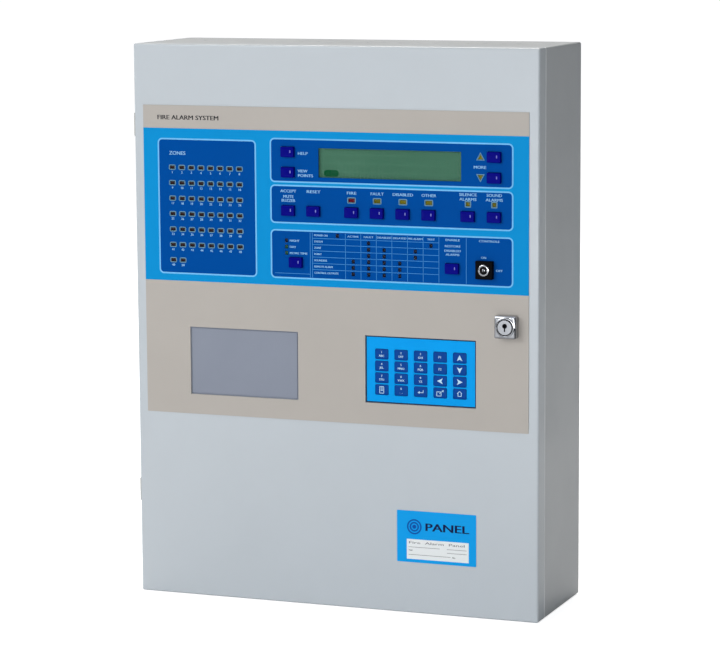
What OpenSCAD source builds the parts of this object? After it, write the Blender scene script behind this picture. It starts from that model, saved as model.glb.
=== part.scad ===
// Wall-mounted fire alarm control panel.
// A folded steel back box with a full-face door, hinged on the left. The door carries the
// lamps, display, buttons, key switch, keypad and lock; the box holds the boards, the power
// supply and the batteries. Origin: centre of the four wall fixings on the back plane.
// +Z is up and the front faces -Y.

/* [Cabinet] */
// Width over the cabinet's sides
cabinet_w = 457; // [450:1:600]
// Height of the cabinet
cabinet_h = 600; // [560:1:760]
// Depth from the wall to the door's steel face
cabinet_d = 145; // [130:1:200]
// Thickness of the sheet steel
sheet_t = 1.5; // [1:0.1:2]
// Outside radius of the bends
bend_r = 2.5; // [2.5:0.5:4]
// Width of the lip turned in round the box's mouth
lip_w = 14; // [10:1:16]
// Distance of each wall fixing from the cabinet's side
fixing_inset_x = 38.5; // [30:0.5:50]
// Distance of each wall fixing from the top or bottom
fixing_inset_z = 40; // [30:1:44]
// Diameter of the wall fixing holes
fixing_d = 7; // [5:0.5:9]
// Width of the cable entry in the back
entry_w = 120; // [60:5:200]
// Height of the cable entry
entry_h = 20; // [12:1:24]
// Distance of the cable entry from the top
entry_drop = 18; // [12:1:20]
// Diameter of the gland knockouts in the top
knockout_d = 20.5; // [16:0.5:25.5]
// Number of knockouts
knockout_count = 10; // [4:1:10]
// Distance between knockouts
knockout_pitch = 38; // [30:1:42]
// Width of the score round a knockout
score_w = 0.6; // [0.4:0.1:1]

/* [Door] */
// Depth of the door tray
door_depth = 20; // [16:1:30]
// Gap between the door and the box
door_gap = 1.2; // [0.8:0.1:2]
// Radius of the hinge barrels
hinge_r = 4; // [3.5:0.5:6]
// Radius of the hinge pins
hinge_pin_r = 2.5; // [2:0.25:3]
// Length of one half of a hinge
hinge_half_l = 25; // [18:1:40]
// Thickness of the hinge leaves
hinge_leaf_t = 2.4; // [1.6:0.2:3]
// Height of each hinge above or below the middle
hinge_rise = 200; // [120:5:230]

/* [Lock] */
// Distance of the lock from the door's right edge
lock_edge = 34; // [32:1:38]
// Distance of the lock below the overlay's top
lock_drop = 222; // [212:1:226]
// Side of the lock's square front
lock_w = 24; // [20:1:28]
// Height of the lock's front above the overlay
lock_proud = 9; // [6:1:12]
// Radius of the lock's threaded body
lock_body_r = 9.25; // [8:0.25:10]
// Radius of the turning barrel
lock_barrel_r = 6; // [5:0.5:7]
// Reach of the cam from the lock's axis
cam_reach = 26; // [24:1:30]
// Width of the cam
cam_w = 14; // [12:1:16]
// Thickness of the cam
cam_t = 2; // [1.5:0.5:3]
// Gap between the cam and the lip that it catches
cam_gap = 1.2; // [0.8:0.1:2]

/* [Overlay] */
// Margin of door left and right of the overlay
overlay_side = 11; // [6:1:20]
// Margin of door above the overlay
overlay_drop = 65.5; // [50:0.5:80]
// Height of the overlay
overlay_h = 333.5; // [325:0.5:345]
// Thickness of the overlay
overlay_t = 0.8; // [0.5:0.1:1.5]

/* [Lamps] */
// Columns of zone lamps
zone_columns = 8; // [6:1:9]
// Number of zone lamps
zone_count = 50; // [8:1:56]
// Distance between zone lamps in a row
zone_pitch_x = 11.2; // [9:0.1:12]
// Distance between rows of zone lamps
zone_pitch_z = 16.67; // [8:0.01:17]
// First zone lamp, from the overlay's left edge
zone_first_x = 33.5; // [28:0.5:36]
// First zone lamp, from the overlay's top edge
zone_first_z = 66.5; // [60:0.5:70]
// Width of a zone lamp
zone_lamp_w = 5.4; // [3:0.1:7]
// Height of a zone lamp
zone_lamp_h = 3.2; // [2:0.1:5]
// Width of an oblong function lamp
function_lamp_w = 7; // [4:0.5:9]
// Height of a function lamp, and the side of a square one
function_lamp_h = 4; // [3:0.5:5]
// Side of a triangular lamp
arrow_lamp_w = 5.6; // [4:0.2:7]
// Width of a status lamp
status_lamp_w = 3; // [2:0.2:4]
// Height of a status lamp
status_lamp_h = 3.6; // [2:0.2:4.2]

/* [Function buttons] */
// Width of a push button
button_w = 15; // [10:0.5:20]
// Height of a push button
button_h = 11; // [8:0.5:14]
// Height of a button above the overlay
button_proud = 3.5; // [2:0.5:5]
// How far a button travels
button_travel = 1; // [0.5:0.1:1.5]
// Distance between button columns
button_pitch = 28.7; // [26:0.1:29]
// First button column, from the overlay's left edge
button_first_x = 168; // [166:0.5:170]

/* [Display] */
// Width of the visible window
window_w = 159; // [120:1:161]
// Height of the visible window
window_h = 31; // [20:1:33]
// Thickness of the clear pane
pane_t = 2; // [1.5:0.5:3]
// Width of the display module
module_w = 178; // [165:1:178]
// Height of the display module
module_h = 50; // [40:1:52]

/* [Key switch] */
// Side of the key switch's square front
switch_w = 19; // [16:1:22]
// Height of the key switch above the overlay
switch_proud = 5; // [3:0.5:8]
// Radius of the key switch's barrel
switch_barrel_r = 6; // [5:0.5:7]

/* [Keypad] */
// Width of a key
key_w = 14.6; // [10:0.1:18]
// Height of a key
key_h = 10.8; // [8:0.1:14]
// Space between keys in a row
key_gap_x = 7.15; // [4:0.05:8]
// Space between rows of keys
key_gap_z = 1.87; // [1.6:0.01:4]
// Margin of sheet left and right of the keys
key_margin_x = 11; // [6:0.5:14]
// Margin of sheet above the keys
key_margin_top = 14; // [8:0.5:18]
// Margin of sheet below the keys
key_margin_bottom = 9; // [6:0.5:14]
// How far a key travels
key_travel = 0.5; // [0.3:0.1:0.8]
// Left edge of the keypad opening, from the overlay's left edge
keypad_x = 254; // [230:1:258]
// Top edge of the keypad and blank openings, from the overlay's top
opening_drop = 238.5; // [236:0.5:242]

/* [Blank plate] */
// Width of the blanked printer opening
blank_w = 125.5; // [80:0.5:150]
// Height of the blanked printer opening
blank_h = 73.5; // [50:0.5:88]
// Left edge of the blank opening, from the overlay's left edge
blank_x = 52; // [40:1:60]

/* [Name label] */
// Width of the name label
label_w = 88.5; // [60:0.5:110]
// Height of the name label
label_h = 55.5; // [30:0.5:70]
// Thickness of the name label
label_t = 0.5; // [0.3:0.1:1]
// Distance of the label's middle to the right of the door's middle
label_offset_x = 115.8; // [60:0.1:130]
// Distance of the label's middle above the door's bottom edge
label_rise = 83; // [60:1:90]

/* [Boards and supply] */
// Thickness of the circuit boards
pcb_t = 1.6; // [1:0.2:2.4]
// Distance from the door's steel to the display board
board_depth = 12.1; // [12.1:0.1:14]
// Width of the main board
main_w = 330; // [280:5:350]
// Height of the main board
main_h = 190; // [150:5:200]
// Distance of the main board from the cabinet's top
main_drop = 50; // [46:1:60]
// Height of the spacers under the main board
spacer_h = 8; // [6:1:12]
// Width of the power supply
supply_w = 150; // [120:5:180]
// Height of the power supply
supply_h = 100; // [80:5:105]
// Depth of the power supply
supply_d = 42; // [30:1:55]
// Width of a battery
battery_w = 151; // [90:1:180]
// Height of a battery's case
battery_h = 94; // [80:1:115]
// Depth of a battery
battery_d = 65; // [60:1:80]
// Width of the ribbon cable
ribbon_w = 33; // [20:1:40]
// Thickness of the ribbon cable
ribbon_t = 1.2; // [0.8:0.1:1.5]

/* [Hidden] */
// Clearances between pieces
fit_gap = 0.3;
running_gap = 0.05;
// Radii and small sizes that nothing outside the part depends on
stud_r = 1.5;
stud_seat_r = 3;
stud_hole_r = 1.7;
flange_t = 1.5;
flange_margin = 8;
moat_w = 1.5;
cap_flange = 1.5;
cap_flange_t = 1.2;
key_flange_w = 0.5;
stem_w = 4;
switch_block_w = 12;
switch_block_h = 10;
switch_block_t = 6.6;
switch_floor = 1.4;
lamp_recess = 0.4;
sheet_recess = 0.5;
stud_rise = 5;
stud_root = 0.2;
post_r = 2;
hinge_stand_off = 0.4;
leaf_margin = 4;
pin_end_gap = 2;
entry_r = 4;
knockout_bridge_w = 3;
// How far a cut runs past the face that it opens
cut = 1;

// The lock and the key switch
lock_corner_r = 2.5;
nut_t = 4;
nut_w = 4;
lock_tail = 0.6;
lock_skirt = 1;
lock_recess_t = 1.4;
lock_recess_w = 2.8;
barrel_sunk = 1.1;
barrel_collar_t = 1.8;
barrel_collar_w = 1.6;
cam_square = 7;
cam_square_l = 1;
cam_nut_r = 5.5;
cam_nut_t = 2;
keyhole_r = 2;
keyhole_rise = 1.6;
keyhole_slot = [1.4, 6];
keyhole_slot_drop = 1.4;
keyhole_depth = 10;
switch_lap = 1;
switch_tail = 6;
switch_floor_t = 2;
switch_barrel_stop = 2.3;
switch_face_rise = 1;
switch_ring_w = 1.6;
switch_ring_depth = 3;
switch_plug_r = 2;
switch_plug_rise = 0.4;
switch_mark = [3, 1.6];
switch_mark_in = 1.2;
switch_mark_depth = 2;

// The main board's chips, relays and smoothing capacitors
chip_count = 3;
chip_w = 24;
chip_t = 3;
chip_pitch = 52;
chip_first_x = -20;
chip_drop = 12;
relay_count = 5;
relay_w = 20;
relay_h = 16;
relay_t = 16;
relay_pitch = 26;
relay_first_x = -4;
relay_drop = 52;
capacitor_count = 3;
capacitor_r = 7;
capacitor_l = 20;
capacitor_pitch = 22;
capacitor_in = 30;

// Spacers, screws and terminals
spacer_r = 3.2;
screw_head_r = 3;
screw_head_t = 2.2;
screw_slot_w = 0.9;
screw_slot_t = 2;
terminal_h = 11;
terminal_drop = 18;
terminal_mid_gap = 8;
wire_w = 3.4;
wire_h = 6;
wire_depth = 5;
wire_rise = 4;
wire_place = 0.6;

// The power supply's case
case_t = 1.2;
case_r = 2;
slot_count = 9;
slot_w = 4;
slot_pitch = 13;
slot_rise = 10;
slot_margin = 46;
supply_strip_h = 12;
supply_strip_t = 9;
supply_strip_margin = 40;

// The display module, and the boards' margins
bezel_gap = 0.4;
bezel_floor = 3.2;
bezel_lap = 2;
bezel_glass_depth = 1;
pane_lap = 3;
module_margin = 4;
module_pad = 7;
module_pad_in = 3;
switch_hole_gap = 3;
keypad_board_margin = 4;
stud_margin = 5;
main_stud_margin = 8;

// Planes across the depth, from the wall to the front
front_y = -cabinet_d;
inner_y = front_y + sheet_t;
overlay_y = front_y - overlay_t;
box_d = cabinet_d - door_depth - door_gap;
lip_y = sheet_t - box_d;
board_y = inner_y + board_depth;
board_back_y = board_y + pcb_t;
cam_y = lip_y + cam_gap;
lamp_y = overlay_y + lamp_recess;

// Places on the overlay, from its left edge and down from its top edge
overlay_w = cabinet_w - 2 * overlay_side;
overlay_top = cabinet_h / 2 - overlay_drop;
function ox(x) = x - overlay_w / 2;
function oz(z) = overlay_top - z;
function column_x(n) = button_first_x + n * button_pitch;

upper_z = 46.8;
lower_z = 68.3;
display_z = (upper_z + lower_z) / 2;
display_x = 282;
lamp_row_z = 96.2;
control_z = 109;
status_z = 164;
mode_x = 176.3;
restore_x = 351.7;
switch_x = 387.7;
arrow_x = 382.5;
function_columns = [2.5, 3.5, 4.5, 5.5, 7, 8];
lock_x = cabinet_w / 2 - lock_edge;
lock_z = oz(lock_drop);

buttons = [
    ["button_help", 0, upper_z],
    ["button_view_points", 0, lower_z],
    ["button_more_up", 8, upper_z],
    ["button_more_down", 8, lower_z],
    ["button_accept", 0, control_z],
    ["button_reset", 1, control_z],
    ["button_fire", 2.5, control_z],
    ["button_fault", 3.5, control_z],
    ["button_disabled", 4.5, control_z],
    ["button_other", 5.5, control_z],
    ["button_silence", 7, control_z],
    ["button_sound", 8, control_z]
];
lone_buttons = [["button_mode", mode_x], ["button_restore", restore_x]];
button_places = concat(
    [for (b = buttons) [b[0], ox(column_x(b[1])), oz(b[2])]],
    [for (b = lone_buttons) [b[0], ox(b[1]), oz(status_z)]]
);

// The status table: rows that have a lamp, column by column
table_x = 241.2;
table_z = 140.9;
table_pitch_x = 17.4;
table_pitch_z = 6.65;
mode_lamp_x = 165.5;
power_lamp_x = 223.5;
table_rows = [[3, 4, 5], [0, 1, 2, 3, 4, 5], [1, 2, 3, 4, 5], [3, 4, 5], [1, 2], [0]];
status_places = concat(
    [for (c = [0:5]) for (r = table_rows[c])
        [ox(table_x + c * table_pitch_x), oz(table_z + r * table_pitch_z)]],
    [for (r = [0:2]) [ox(mode_lamp_x), oz(table_z + r * table_pitch_z)]],
    [[ox(power_lamp_x), oz(table_z - table_pitch_z)]]
);
zone_places = [for (n = [0:zone_count - 1])
    [ox(zone_first_x + (n % zone_columns) * zone_pitch_x),
     oz(zone_first_z + floor(n / zone_columns) * zone_pitch_z)]];

// The keypad
key_names = [
    ["key_1", "key_2", "key_3", "key_f1", "key_up"],
    ["key_4", "key_5", "key_6", "key_f2", "key_down"],
    ["key_7", "key_8", "key_9", "key_left", "key_right"],
    ["key_menu", "key_0", "key_enter", "key_escape", "key_home"]
];
key_pitch_x = key_w + key_gap_x;
key_pitch_z = key_h + key_gap_z;
key_flange_z = min(key_flange_w, key_gap_z / 2 - fit_gap);
keypad_w = 5 * key_pitch_x - key_gap_x + 2 * key_margin_x;
keypad_h = 4 * key_pitch_z - key_gap_z + key_margin_top + key_margin_bottom;
keypad_mid = [ox(keypad_x + keypad_w / 2), oz(opening_drop + keypad_h / 2)];
blank_mid = [ox(blank_x + blank_w / 2), oz(opening_drop + blank_h / 2)];
key_places = [for (r = [0:3]) for (c = [0:4])
    [key_names[r][c],
     keypad_mid[0] - keypad_w / 2 + key_margin_x + key_w / 2 + c * key_pitch_x,
     keypad_mid[1] + keypad_h / 2 - key_margin_top - key_h / 2 - r * key_pitch_z]];
sheet_y = front_y + sheet_recess;
flange_back_y = inner_y + flange_t;
key_y = sheet_y - sheet_recess;
keypad_board_y = flange_back_y + fit_gap + cap_flange_t + key_travel + fit_gap;

// The hinges
hinge_x = -cabinet_w / 2 - hinge_r - hinge_stand_off;
hinge_y = -box_d - door_gap / 2;
hinge_leaf_l = door_depth - leaf_margin;
hinge_z = [-hinge_rise, hinge_rise];

// The display board spans from the zone lamps to the last column of buttons
board_margin_left = 16;
board_margin_right = 8;
board_top_z = 31;
board_bottom_z = 186;
board_mid_x = 140;
board_left = ox(zone_first_x - board_margin_left);
board_right = ox(column_x(8) + button_w / 2 + cap_flange + board_margin_right);
board_top = oz(board_top_z);
board_bottom = oz(board_bottom_z);
board_studs = [for (x = [board_left + stud_margin, ox(board_mid_x), board_right - stud_margin])
    for (z = [board_top - stud_margin, board_bottom + stud_margin]) [x, z]];

// Inside the box
main_mid = [0, cabinet_h / 2 - main_drop - main_h / 2];
main_y = -sheet_t - spacer_h;
main_front_y = main_y - pcb_t;
main_studs = [for (x = [-1, 0, 1]) for (z = [-1, 1])
    [main_mid[0] + x * (main_w / 2 - main_stud_margin),
     main_mid[1] + z * (main_h / 2 - main_stud_margin)]];
terminal_pitch = 5.08;
terminal_ways = 24;
terminal_d = 15;
floor_z = sheet_t - cabinet_h / 2;
battery_gap = 6;
battery_back = 3;
battery_tab_h = 7;
battery_tab_w = 6.4;
battery_tab_t = 0.8;
battery_tab_in = 10;
battery_tab_depth = 14;
battery_r = 2;
supply_side = 28;
supply_rise = 14;
supply_x = -cabinet_w / 2 + supply_side + supply_w / 2;
supply_z = floor_z + battery_h + battery_tab_h + supply_rise + supply_h / 2;

// The ribbon cable's route, seen from above, and its headers
ribbon_drop = 26;
ribbon_z = (board_top + board_bottom) / 2 - ribbon_drop;
ribbon_bend_r = 9;
ribbon_side_gap = 14;
ribbon_side_x = -cabinet_w / 2 + lip_w + ribbon_side_gap;
header_h = 12;
header_w = 9;
header_end = 4;
header_grip = 2;
header_l = ribbon_w + 2 * header_end;
main_header_in = 26;
door_header_in = 54;
main_header_x = -main_w / 2 + main_header_in;
door_header_x = board_left + door_header_in;
ribbon_back_y = main_front_y - header_h + header_grip;
ribbon_front_y = board_back_y + header_h - header_grip;

// ---- shared shapes ----

// Rectangle with round corners
module rounded_rect(w, h, r) {
    square([w - 2 * r, h], center = true);
    square([w, h - 2 * r], center = true);
    for (x = [-1, 1], z = [-1, 1])
        translate([x * (w / 2 - r), z * (h / 2 - r)])
            circle(r = r, $fn = 48);
}

// Raises an outline drawn in X and Z forward from the plane y = back, by t
module raise(back, t) {
    translate([0, back, 0])
        rotate([90, 0, 0])
            linear_extrude(t)
                children();
}

// Outline of a folded sheet seen end-on: square at the back, bent at the front
module bent_profile(w, d, r) {
    translate([-w / 2, r - d])
        square([w, d - r]);
    translate([r - w / 2, -d])
        square([w - 2 * r, d]);
    for (x = [-1, 1])
        translate([x * (w / 2 - r), r - d])
            circle(r = r, $fn = 48);
}

// Block from y = 0 forward to y = -d with its front edges and its corners rounded
module bent_block(w, d, h, r) {
    intersection() {
        linear_extrude(h, center = true)
            bent_profile(w, d, r);
        rotate([0, -90, 0])
            linear_extrude(w, center = true)
                bent_profile(h, d, r);
        raise(0, d)
            rounded_rect(w, h, r);
    }
}

// Rod along Y, from the plane y = back forward by l
module rod(x, z, back, l, r, sides = 48) {
    translate([x, back, z])
        rotate([90, 0, 0])
            cylinder(r = r, h = l, $fn = sides);
}

// Places its children at a list of [x, z] points
module at_places(places) {
    for (p = places)
        translate([p[0], p[1]])
            children();
}

// Upright or hanging triangle
module arrow(w, up) {
    h = w * 0.9;
    polygon([[-w / 2, -up * h / 2], [w / 2, -up * h / 2], [0, up * h / 2]]);
}

// Outlines of everything that shows through the overlay, each grown by g
module lamp_windows(g) {
    at_places(zone_places)
        square([zone_lamp_w + 2 * g, zone_lamp_h + 2 * g], center = true);
    at_places(status_places)
        square([status_lamp_w + 2 * g, status_lamp_h + 2 * g], center = true);
    for (c = function_columns)
        translate([ox(column_x(c)), oz(lamp_row_z)])
            square([(c < 6 ? function_lamp_w : function_lamp_h) + 2 * g,
                    function_lamp_h + 2 * g], center = true);
    translate([ox(arrow_x), oz(upper_z)])
        arrow(arrow_lamp_w + 4 * g, 1);
    translate([ox(arrow_x), oz(lower_z)])
        arrow(arrow_lamp_w + 4 * g, -1);
}

module control_windows(g) {
    for (b = button_places)
        translate([b[1], b[2]])
            square([button_w + 2 * g, button_h + 2 * g], center = true);
    translate([ox(switch_x), oz(status_z)])
        square(switch_w - 2 * switch_lap + 2 * g, center = true);
    translate([lock_x, lock_z])
        circle(r = lock_body_r + g, $fn = 64);
    translate(keypad_mid)
        square([keypad_w, keypad_h], center = true);
    translate(blank_mid)
        square([blank_w, blank_h], center = true);
}

module display_opening(g) {
    translate([ox(display_x), oz(display_z)])
        square([window_w + 2 * g, window_h + 2 * g], center = true);
}

// The four studs round an opening
function corner_studs(mid, w, h) = [for (x = [-1, 1]) for (z = [-1, 1])
    [mid[0] + x * (w / 2 + flange_margin / 2), mid[1] + z * (h / 2 + flange_margin / 2)]];

// ---- the box and what is fixed in it ----

module knockout() {
    difference() {
        cylinder(r = knockout_d / 2, h = sheet_t + 2 * cut, center = true, $fn = 64);
        cylinder(r = knockout_d / 2 - score_w, h = sheet_t + 4 * cut, center = true, $fn = 64);
        cube([knockout_bridge_w, knockout_d + 2 * cut, sheet_t + 4 * cut], center = true);
    }
}

module back_box() {
    inside_w = cabinet_w - 2 * sheet_t;
    inside_h = cabinet_h - 2 * sheet_t;
    inside_r = bend_r - sheet_t + 0.1;
    color([0.73, 0.75, 0.75])
        difference() {
            bent_block(cabinet_w, box_d, cabinet_h, bend_r);
            translate([0, -sheet_t, 0])
                bent_block(inside_w, box_d - 2 * sheet_t, inside_h, inside_r);
            raise(lip_y + cut, sheet_t + 2 * cut)
                square([cabinet_w - 2 * lip_w, cabinet_h - 2 * lip_w], center = true);
            for (x = [-1, 1], z = [-1, 1])
                rod(x * (cabinet_w / 2 - fixing_inset_x), z * (cabinet_h / 2 - fixing_inset_z),
                    cut, sheet_t + 2 * cut, fixing_d / 2);
            raise(cut, sheet_t + 2 * cut)
                translate([0, cabinet_h / 2 - entry_drop - entry_h / 2])
                    rounded_rect(entry_w, entry_h, entry_r);
            for (n = [0:knockout_count - 1])
                translate([(n - (knockout_count - 1) / 2) * knockout_pitch, -box_d / 2,
                           cabinet_h / 2 - sheet_t / 2])
                    knockout();
        }
}

// One leaf lies flat on the cabinet's left side, from the hinge line towards y = y0
module hinge_half(z, y0, pin) {
    leaf_y = min(y0, hinge_y);
    difference() {
        union() {
            translate([hinge_x, hinge_y, z])
                cylinder(r = hinge_r, h = hinge_half_l, $fn = 64);
            translate([-cabinet_w / 2 - hinge_leaf_t, leaf_y, z])
                cube([hinge_leaf_t, abs(y0 - hinge_y), hinge_half_l]);
        }
        if (!pin)
            translate([hinge_x, hinge_y, z - cut])
                cylinder(r = hinge_pin_r + running_gap, h = hinge_half_l + 2 * cut, $fn = 64);
    }
    if (pin)
        translate([hinge_x, hinge_y, z])
            cylinder(r = hinge_pin_r, h = 2 * hinge_half_l - pin_end_gap, $fn = 64);
}

module hinge_pin_halves() {
    color([0.62, 0.64, 0.65])
        for (z = hinge_z)
            hinge_half(z - hinge_half_l - fit_gap, hinge_y + hinge_leaf_l, true);
}

module hinge_socket_halves() {
    color([0.62, 0.64, 0.65])
        for (z = hinge_z)
            hinge_half(z, hinge_y - hinge_leaf_l, false);
}

module main_board() {
    color([0.06, 0.32, 0.17])
        difference() {
            raise(main_y, pcb_t)
                translate(main_mid)
                    square([main_w, main_h], center = true);
            for (s = main_studs)
                rod(s[0], s[1], main_y + cut, pcb_t + 2 * cut, stud_hole_r);
        }
    // chips, relays and smoothing capacitors
    color([0.1, 0.1, 0.11])
        raise(main_front_y, chip_t)
            for (n = [0:chip_count - 1])
                translate([chip_first_x + n * chip_pitch, main_mid[1] - chip_drop])
                    square(chip_w, center = true);
    color([0.85, 0.85, 0.8])
        raise(main_front_y, relay_t)
            for (n = [0:relay_count - 1])
                translate([relay_first_x + n * relay_pitch, main_mid[1] + main_h / 2 - relay_drop])
                    square([relay_w, relay_h], center = true);
    color([0.15, 0.16, 0.2])
        for (n = [0:capacitor_count - 1])
            rod(main_w / 2 - capacitor_in, main_mid[1] - n * capacitor_pitch, main_front_y,
                capacitor_l, capacitor_r);
    // header for the ribbon cable
    color([0.15, 0.15, 0.16])
        raise(main_front_y, header_h)
            translate([main_header_x, ribbon_z])
                square([header_w, header_l], center = true);
}

module board_spacers() {
    color([0.78, 0.68, 0.4])
        for (s = main_studs)
            difference() {
                rod(s[0], s[1], -sheet_t, spacer_h, spacer_r, 6);
                rod(s[0], s[1], -sheet_t - cut, spacer_h, stud_r + running_gap);
            }
}

module board_screws() {
    color([0.75, 0.76, 0.78])
        for (s = main_studs)
            difference() {
                union() {
                    rod(s[0], s[1], main_front_y, screw_head_t, screw_head_r);
                    rod(s[0], s[1], main_y + spacer_h - 2 * cut, spacer_h - 2 * cut + pcb_t, stud_r);
                }
                translate([s[0], main_front_y - screw_head_t, s[1]])
                    cube([screw_slot_w, screw_slot_t, 2 * screw_head_r + cut], center = true);
            }
}

module terminal_blocks() {
    strip_w = terminal_ways * terminal_pitch;
    strip_z = main_mid[1] + main_h / 2 - terminal_drop;
    color([0.12, 0.45, 0.25])
        for (side = [-1, 1])
            translate([side * (strip_w / 2 + terminal_mid_gap), main_front_y, strip_z])
                difference() {
                    raise(0, terminal_d)
                        square([strip_w, terminal_h], center = true);
                    for (n = [0:terminal_ways - 1])
                        translate([(n + 0.5) * terminal_pitch - strip_w / 2,
                                   -terminal_d * wire_place, wire_rise])
                            cube([wire_w, wire_depth, wire_h], center = true);
                }
}

module power_supply() {
    color([0.78, 0.79, 0.8])
        translate([supply_x, -sheet_t, supply_z]) {
            difference() {
                bent_block(supply_w, supply_d, supply_h, case_r);
                translate([0, -case_t, 0])
                    bent_block(supply_w - 2 * case_t, supply_d - 2 * case_t,
                               supply_h - 2 * case_t, case_r / 2);
                raise(case_t - supply_d, case_t + 2 * cut)
                    for (n = [0:slot_count - 1])
                        translate([(n - (slot_count - 1) / 2) * slot_pitch, slot_rise])
                            rounded_rect(slot_w, supply_h - slot_margin, slot_w / 2 - 0.1);
            }
            // mains and battery terminals along the foot of the case
            raise(-supply_d, supply_strip_t)
                translate([0, supply_strip_h - supply_h / 2])
                    square([supply_w - supply_strip_margin, supply_strip_h], center = true);
        }
}

module battery() {
    translate([0, -battery_d - battery_back, 0])
        linear_extrude(battery_h)
            translate([0, battery_d / 2])
                rounded_rect(battery_w, battery_d, battery_r);
    for (x = [-1, 1])
        translate([x * (battery_w / 2 - battery_tab_in) - battery_tab_w / 2,
                   -battery_back - battery_tab_depth, battery_h])
            cube([battery_tab_w, battery_tab_t, battery_tab_h]);
}

module batteries() {
    color([0.22, 0.23, 0.25])
        for (side = [-1, 1])
            translate([side * (battery_w + battery_gap) / 2, -sheet_t, floor_z])
                battery();
}

// Flat cable: out of the main board's header, forward past the hinge side, into the door's header
module ribbon_cable() {
    r = ribbon_bend_r;
    back_start = main_header_x - header_w / 2;
    front_end = door_header_x - header_w / 2;
    color([0.6, 0.6, 0.62])
        translate([0, 0, ribbon_z - ribbon_w / 2]) {
            translate([ribbon_side_x + r, ribbon_back_y - ribbon_t, 0])
                cube([back_start - ribbon_side_x - r, ribbon_t, ribbon_w]);
            translate([ribbon_side_x + r, ribbon_back_y - r, 0])
                rotate([0, 0, 90])
                    ribbon_bend(r);
            translate([ribbon_side_x, ribbon_front_y + r, 0])
                cube([ribbon_t, ribbon_back_y - ribbon_front_y - 2 * r, ribbon_w]);
            translate([ribbon_side_x + r, ribbon_front_y + r, 0])
                rotate([0, 0, 180])
                    ribbon_bend(r);
            translate([ribbon_side_x + r, ribbon_front_y, 0])
                cube([front_end - ribbon_side_x - r, ribbon_t, ribbon_w]);
        }
}

// A quarter turn of the cable with its outer face at radius r
module ribbon_bend(r) {
    rotate_extrude(angle = 90, $fn = 48)
        translate([r - ribbon_t, 0])
            square([ribbon_t, ribbon_w]);
}

// ---- the door and what is fixed on it ----

module door_panel() {
    inside_r = bend_r - sheet_t + 0.1;
    seat_l = board_depth;
    color([0.76, 0.78, 0.79]) {
        difference() {
            translate([0, front_y + door_depth, 0])
                bent_block(cabinet_w, door_depth, cabinet_h, bend_r);
            translate([0, front_y + door_depth + cut, 0])
                bent_block(cabinet_w - 2 * sheet_t, door_depth + cut - sheet_t,
                           cabinet_h - 2 * sheet_t, inside_r);
            raise(inner_y + cut, sheet_t + 2 * cut) {
                lamp_windows(fit_gap);
                control_windows(fit_gap);
                display_opening(pane_lap + fit_gap);
            }
        }
        // studs for the display board, stepped so that the board seats on them
        for (s = board_studs) {
            rod(s[0], s[1], inner_y + seat_l, seat_l + stud_root, stud_seat_r);
            rod(s[0], s[1], board_back_y + stud_rise, pcb_t + stud_rise + cut, stud_r);
        }
        for (s = concat(corner_studs(keypad_mid, keypad_w, keypad_h),
                        corner_studs(blank_mid, blank_w, blank_h)))
            rod(s[0], s[1], flange_back_y + stud_rise, flange_t + stud_rise + stud_root, stud_r);
    }
}

module front_overlay() {
    color([0.1, 0.55, 0.82])
        raise(front_y, overlay_t)
            difference() {
                translate([0, overlay_top - overlay_h / 2])
                    square([overlay_w, overlay_h], center = true);
                lamp_windows(fit_gap);
                control_windows(fit_gap);
                display_opening(0);
            }
}

module display_window() {
    color([0.7, 0.85, 0.75, 0.5])
        raise(front_y + pane_t, pane_t)
            translate([ox(display_x), oz(display_z)])
                square([window_w + 2 * pane_lap, window_h + 2 * pane_lap], center = true);
}

// Glass in a metal bezel, on its own board, on four pads that rest on the display board
module display_module() {
    bezel_back = board_y - bezel_floor;
    bezel_t = bezel_back - (inner_y + pane_t - sheet_t + bezel_gap);
    color([0.3, 0.45, 0.35])
        difference() {
            raise(bezel_back, bezel_t)
                translate([ox(display_x), oz(display_z)])
                    square([module_w, module_h], center = true);
            raise(bezel_back - bezel_t + bezel_glass_depth, bezel_glass_depth + cut)
                display_opening(-bezel_lap);
        }
    color([0.06, 0.32, 0.17]) {
        raise(bezel_back + pcb_t, pcb_t)
            translate([ox(display_x), oz(display_z)])
                square([module_w + module_margin, module_h + module_margin], center = true);
        raise(board_y, board_y - bezel_back - pcb_t)
            for (x = [-1, 1], z = [-1, 1])
                translate([ox(display_x) + x * (module_w / 2 - module_pad_in),
                           oz(display_z) + z * (module_h / 2 - module_pad_in)])
                    square(module_pad, center = true);
    }
}

// The display board with a switch body behind each button, and the keypad's board
module door_boards() {
    color([0.06, 0.32, 0.17]) {
        raise(board_back_y, pcb_t)
            difference() {
                translate([board_left, board_bottom])
                    square([board_right - board_left, board_top - board_bottom]);
                at_places(board_studs)
                    circle(r = stud_hole_r, $fn = 32);
                translate([ox(switch_x), oz(status_z)])
                    square(switch_w + switch_hole_gap, center = true);
            }
        raise(keypad_board_y + pcb_t, pcb_t)
            translate(keypad_mid)
                square([keypad_w + keypad_board_margin, keypad_h + keypad_board_margin],
                       center = true);
    }
    color([0.12, 0.12, 0.13]) {
        for (b = button_places)
            translate([b[1], 0, b[2]])
                raise(board_y, switch_block_t)
                    difference() {
                        square([switch_block_w, switch_block_h], center = true);
                        square(stem_w + 2 * fit_gap, center = true);
                    }
        raise(board_back_y + header_h, header_h)
            translate([door_header_x, ribbon_z])
                square([header_w, header_l], center = true);
    }
}

module red_lamps() {
    color([0.35, 0.05, 0.05])
        raise(board_y, board_y - lamp_y) {
            at_places(zone_places)
                square([zone_lamp_w, zone_lamp_h], center = true);
            translate([ox(column_x(function_columns[0])), oz(lamp_row_z)])
                square([function_lamp_w, function_lamp_h], center = true);
        }
}

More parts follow.
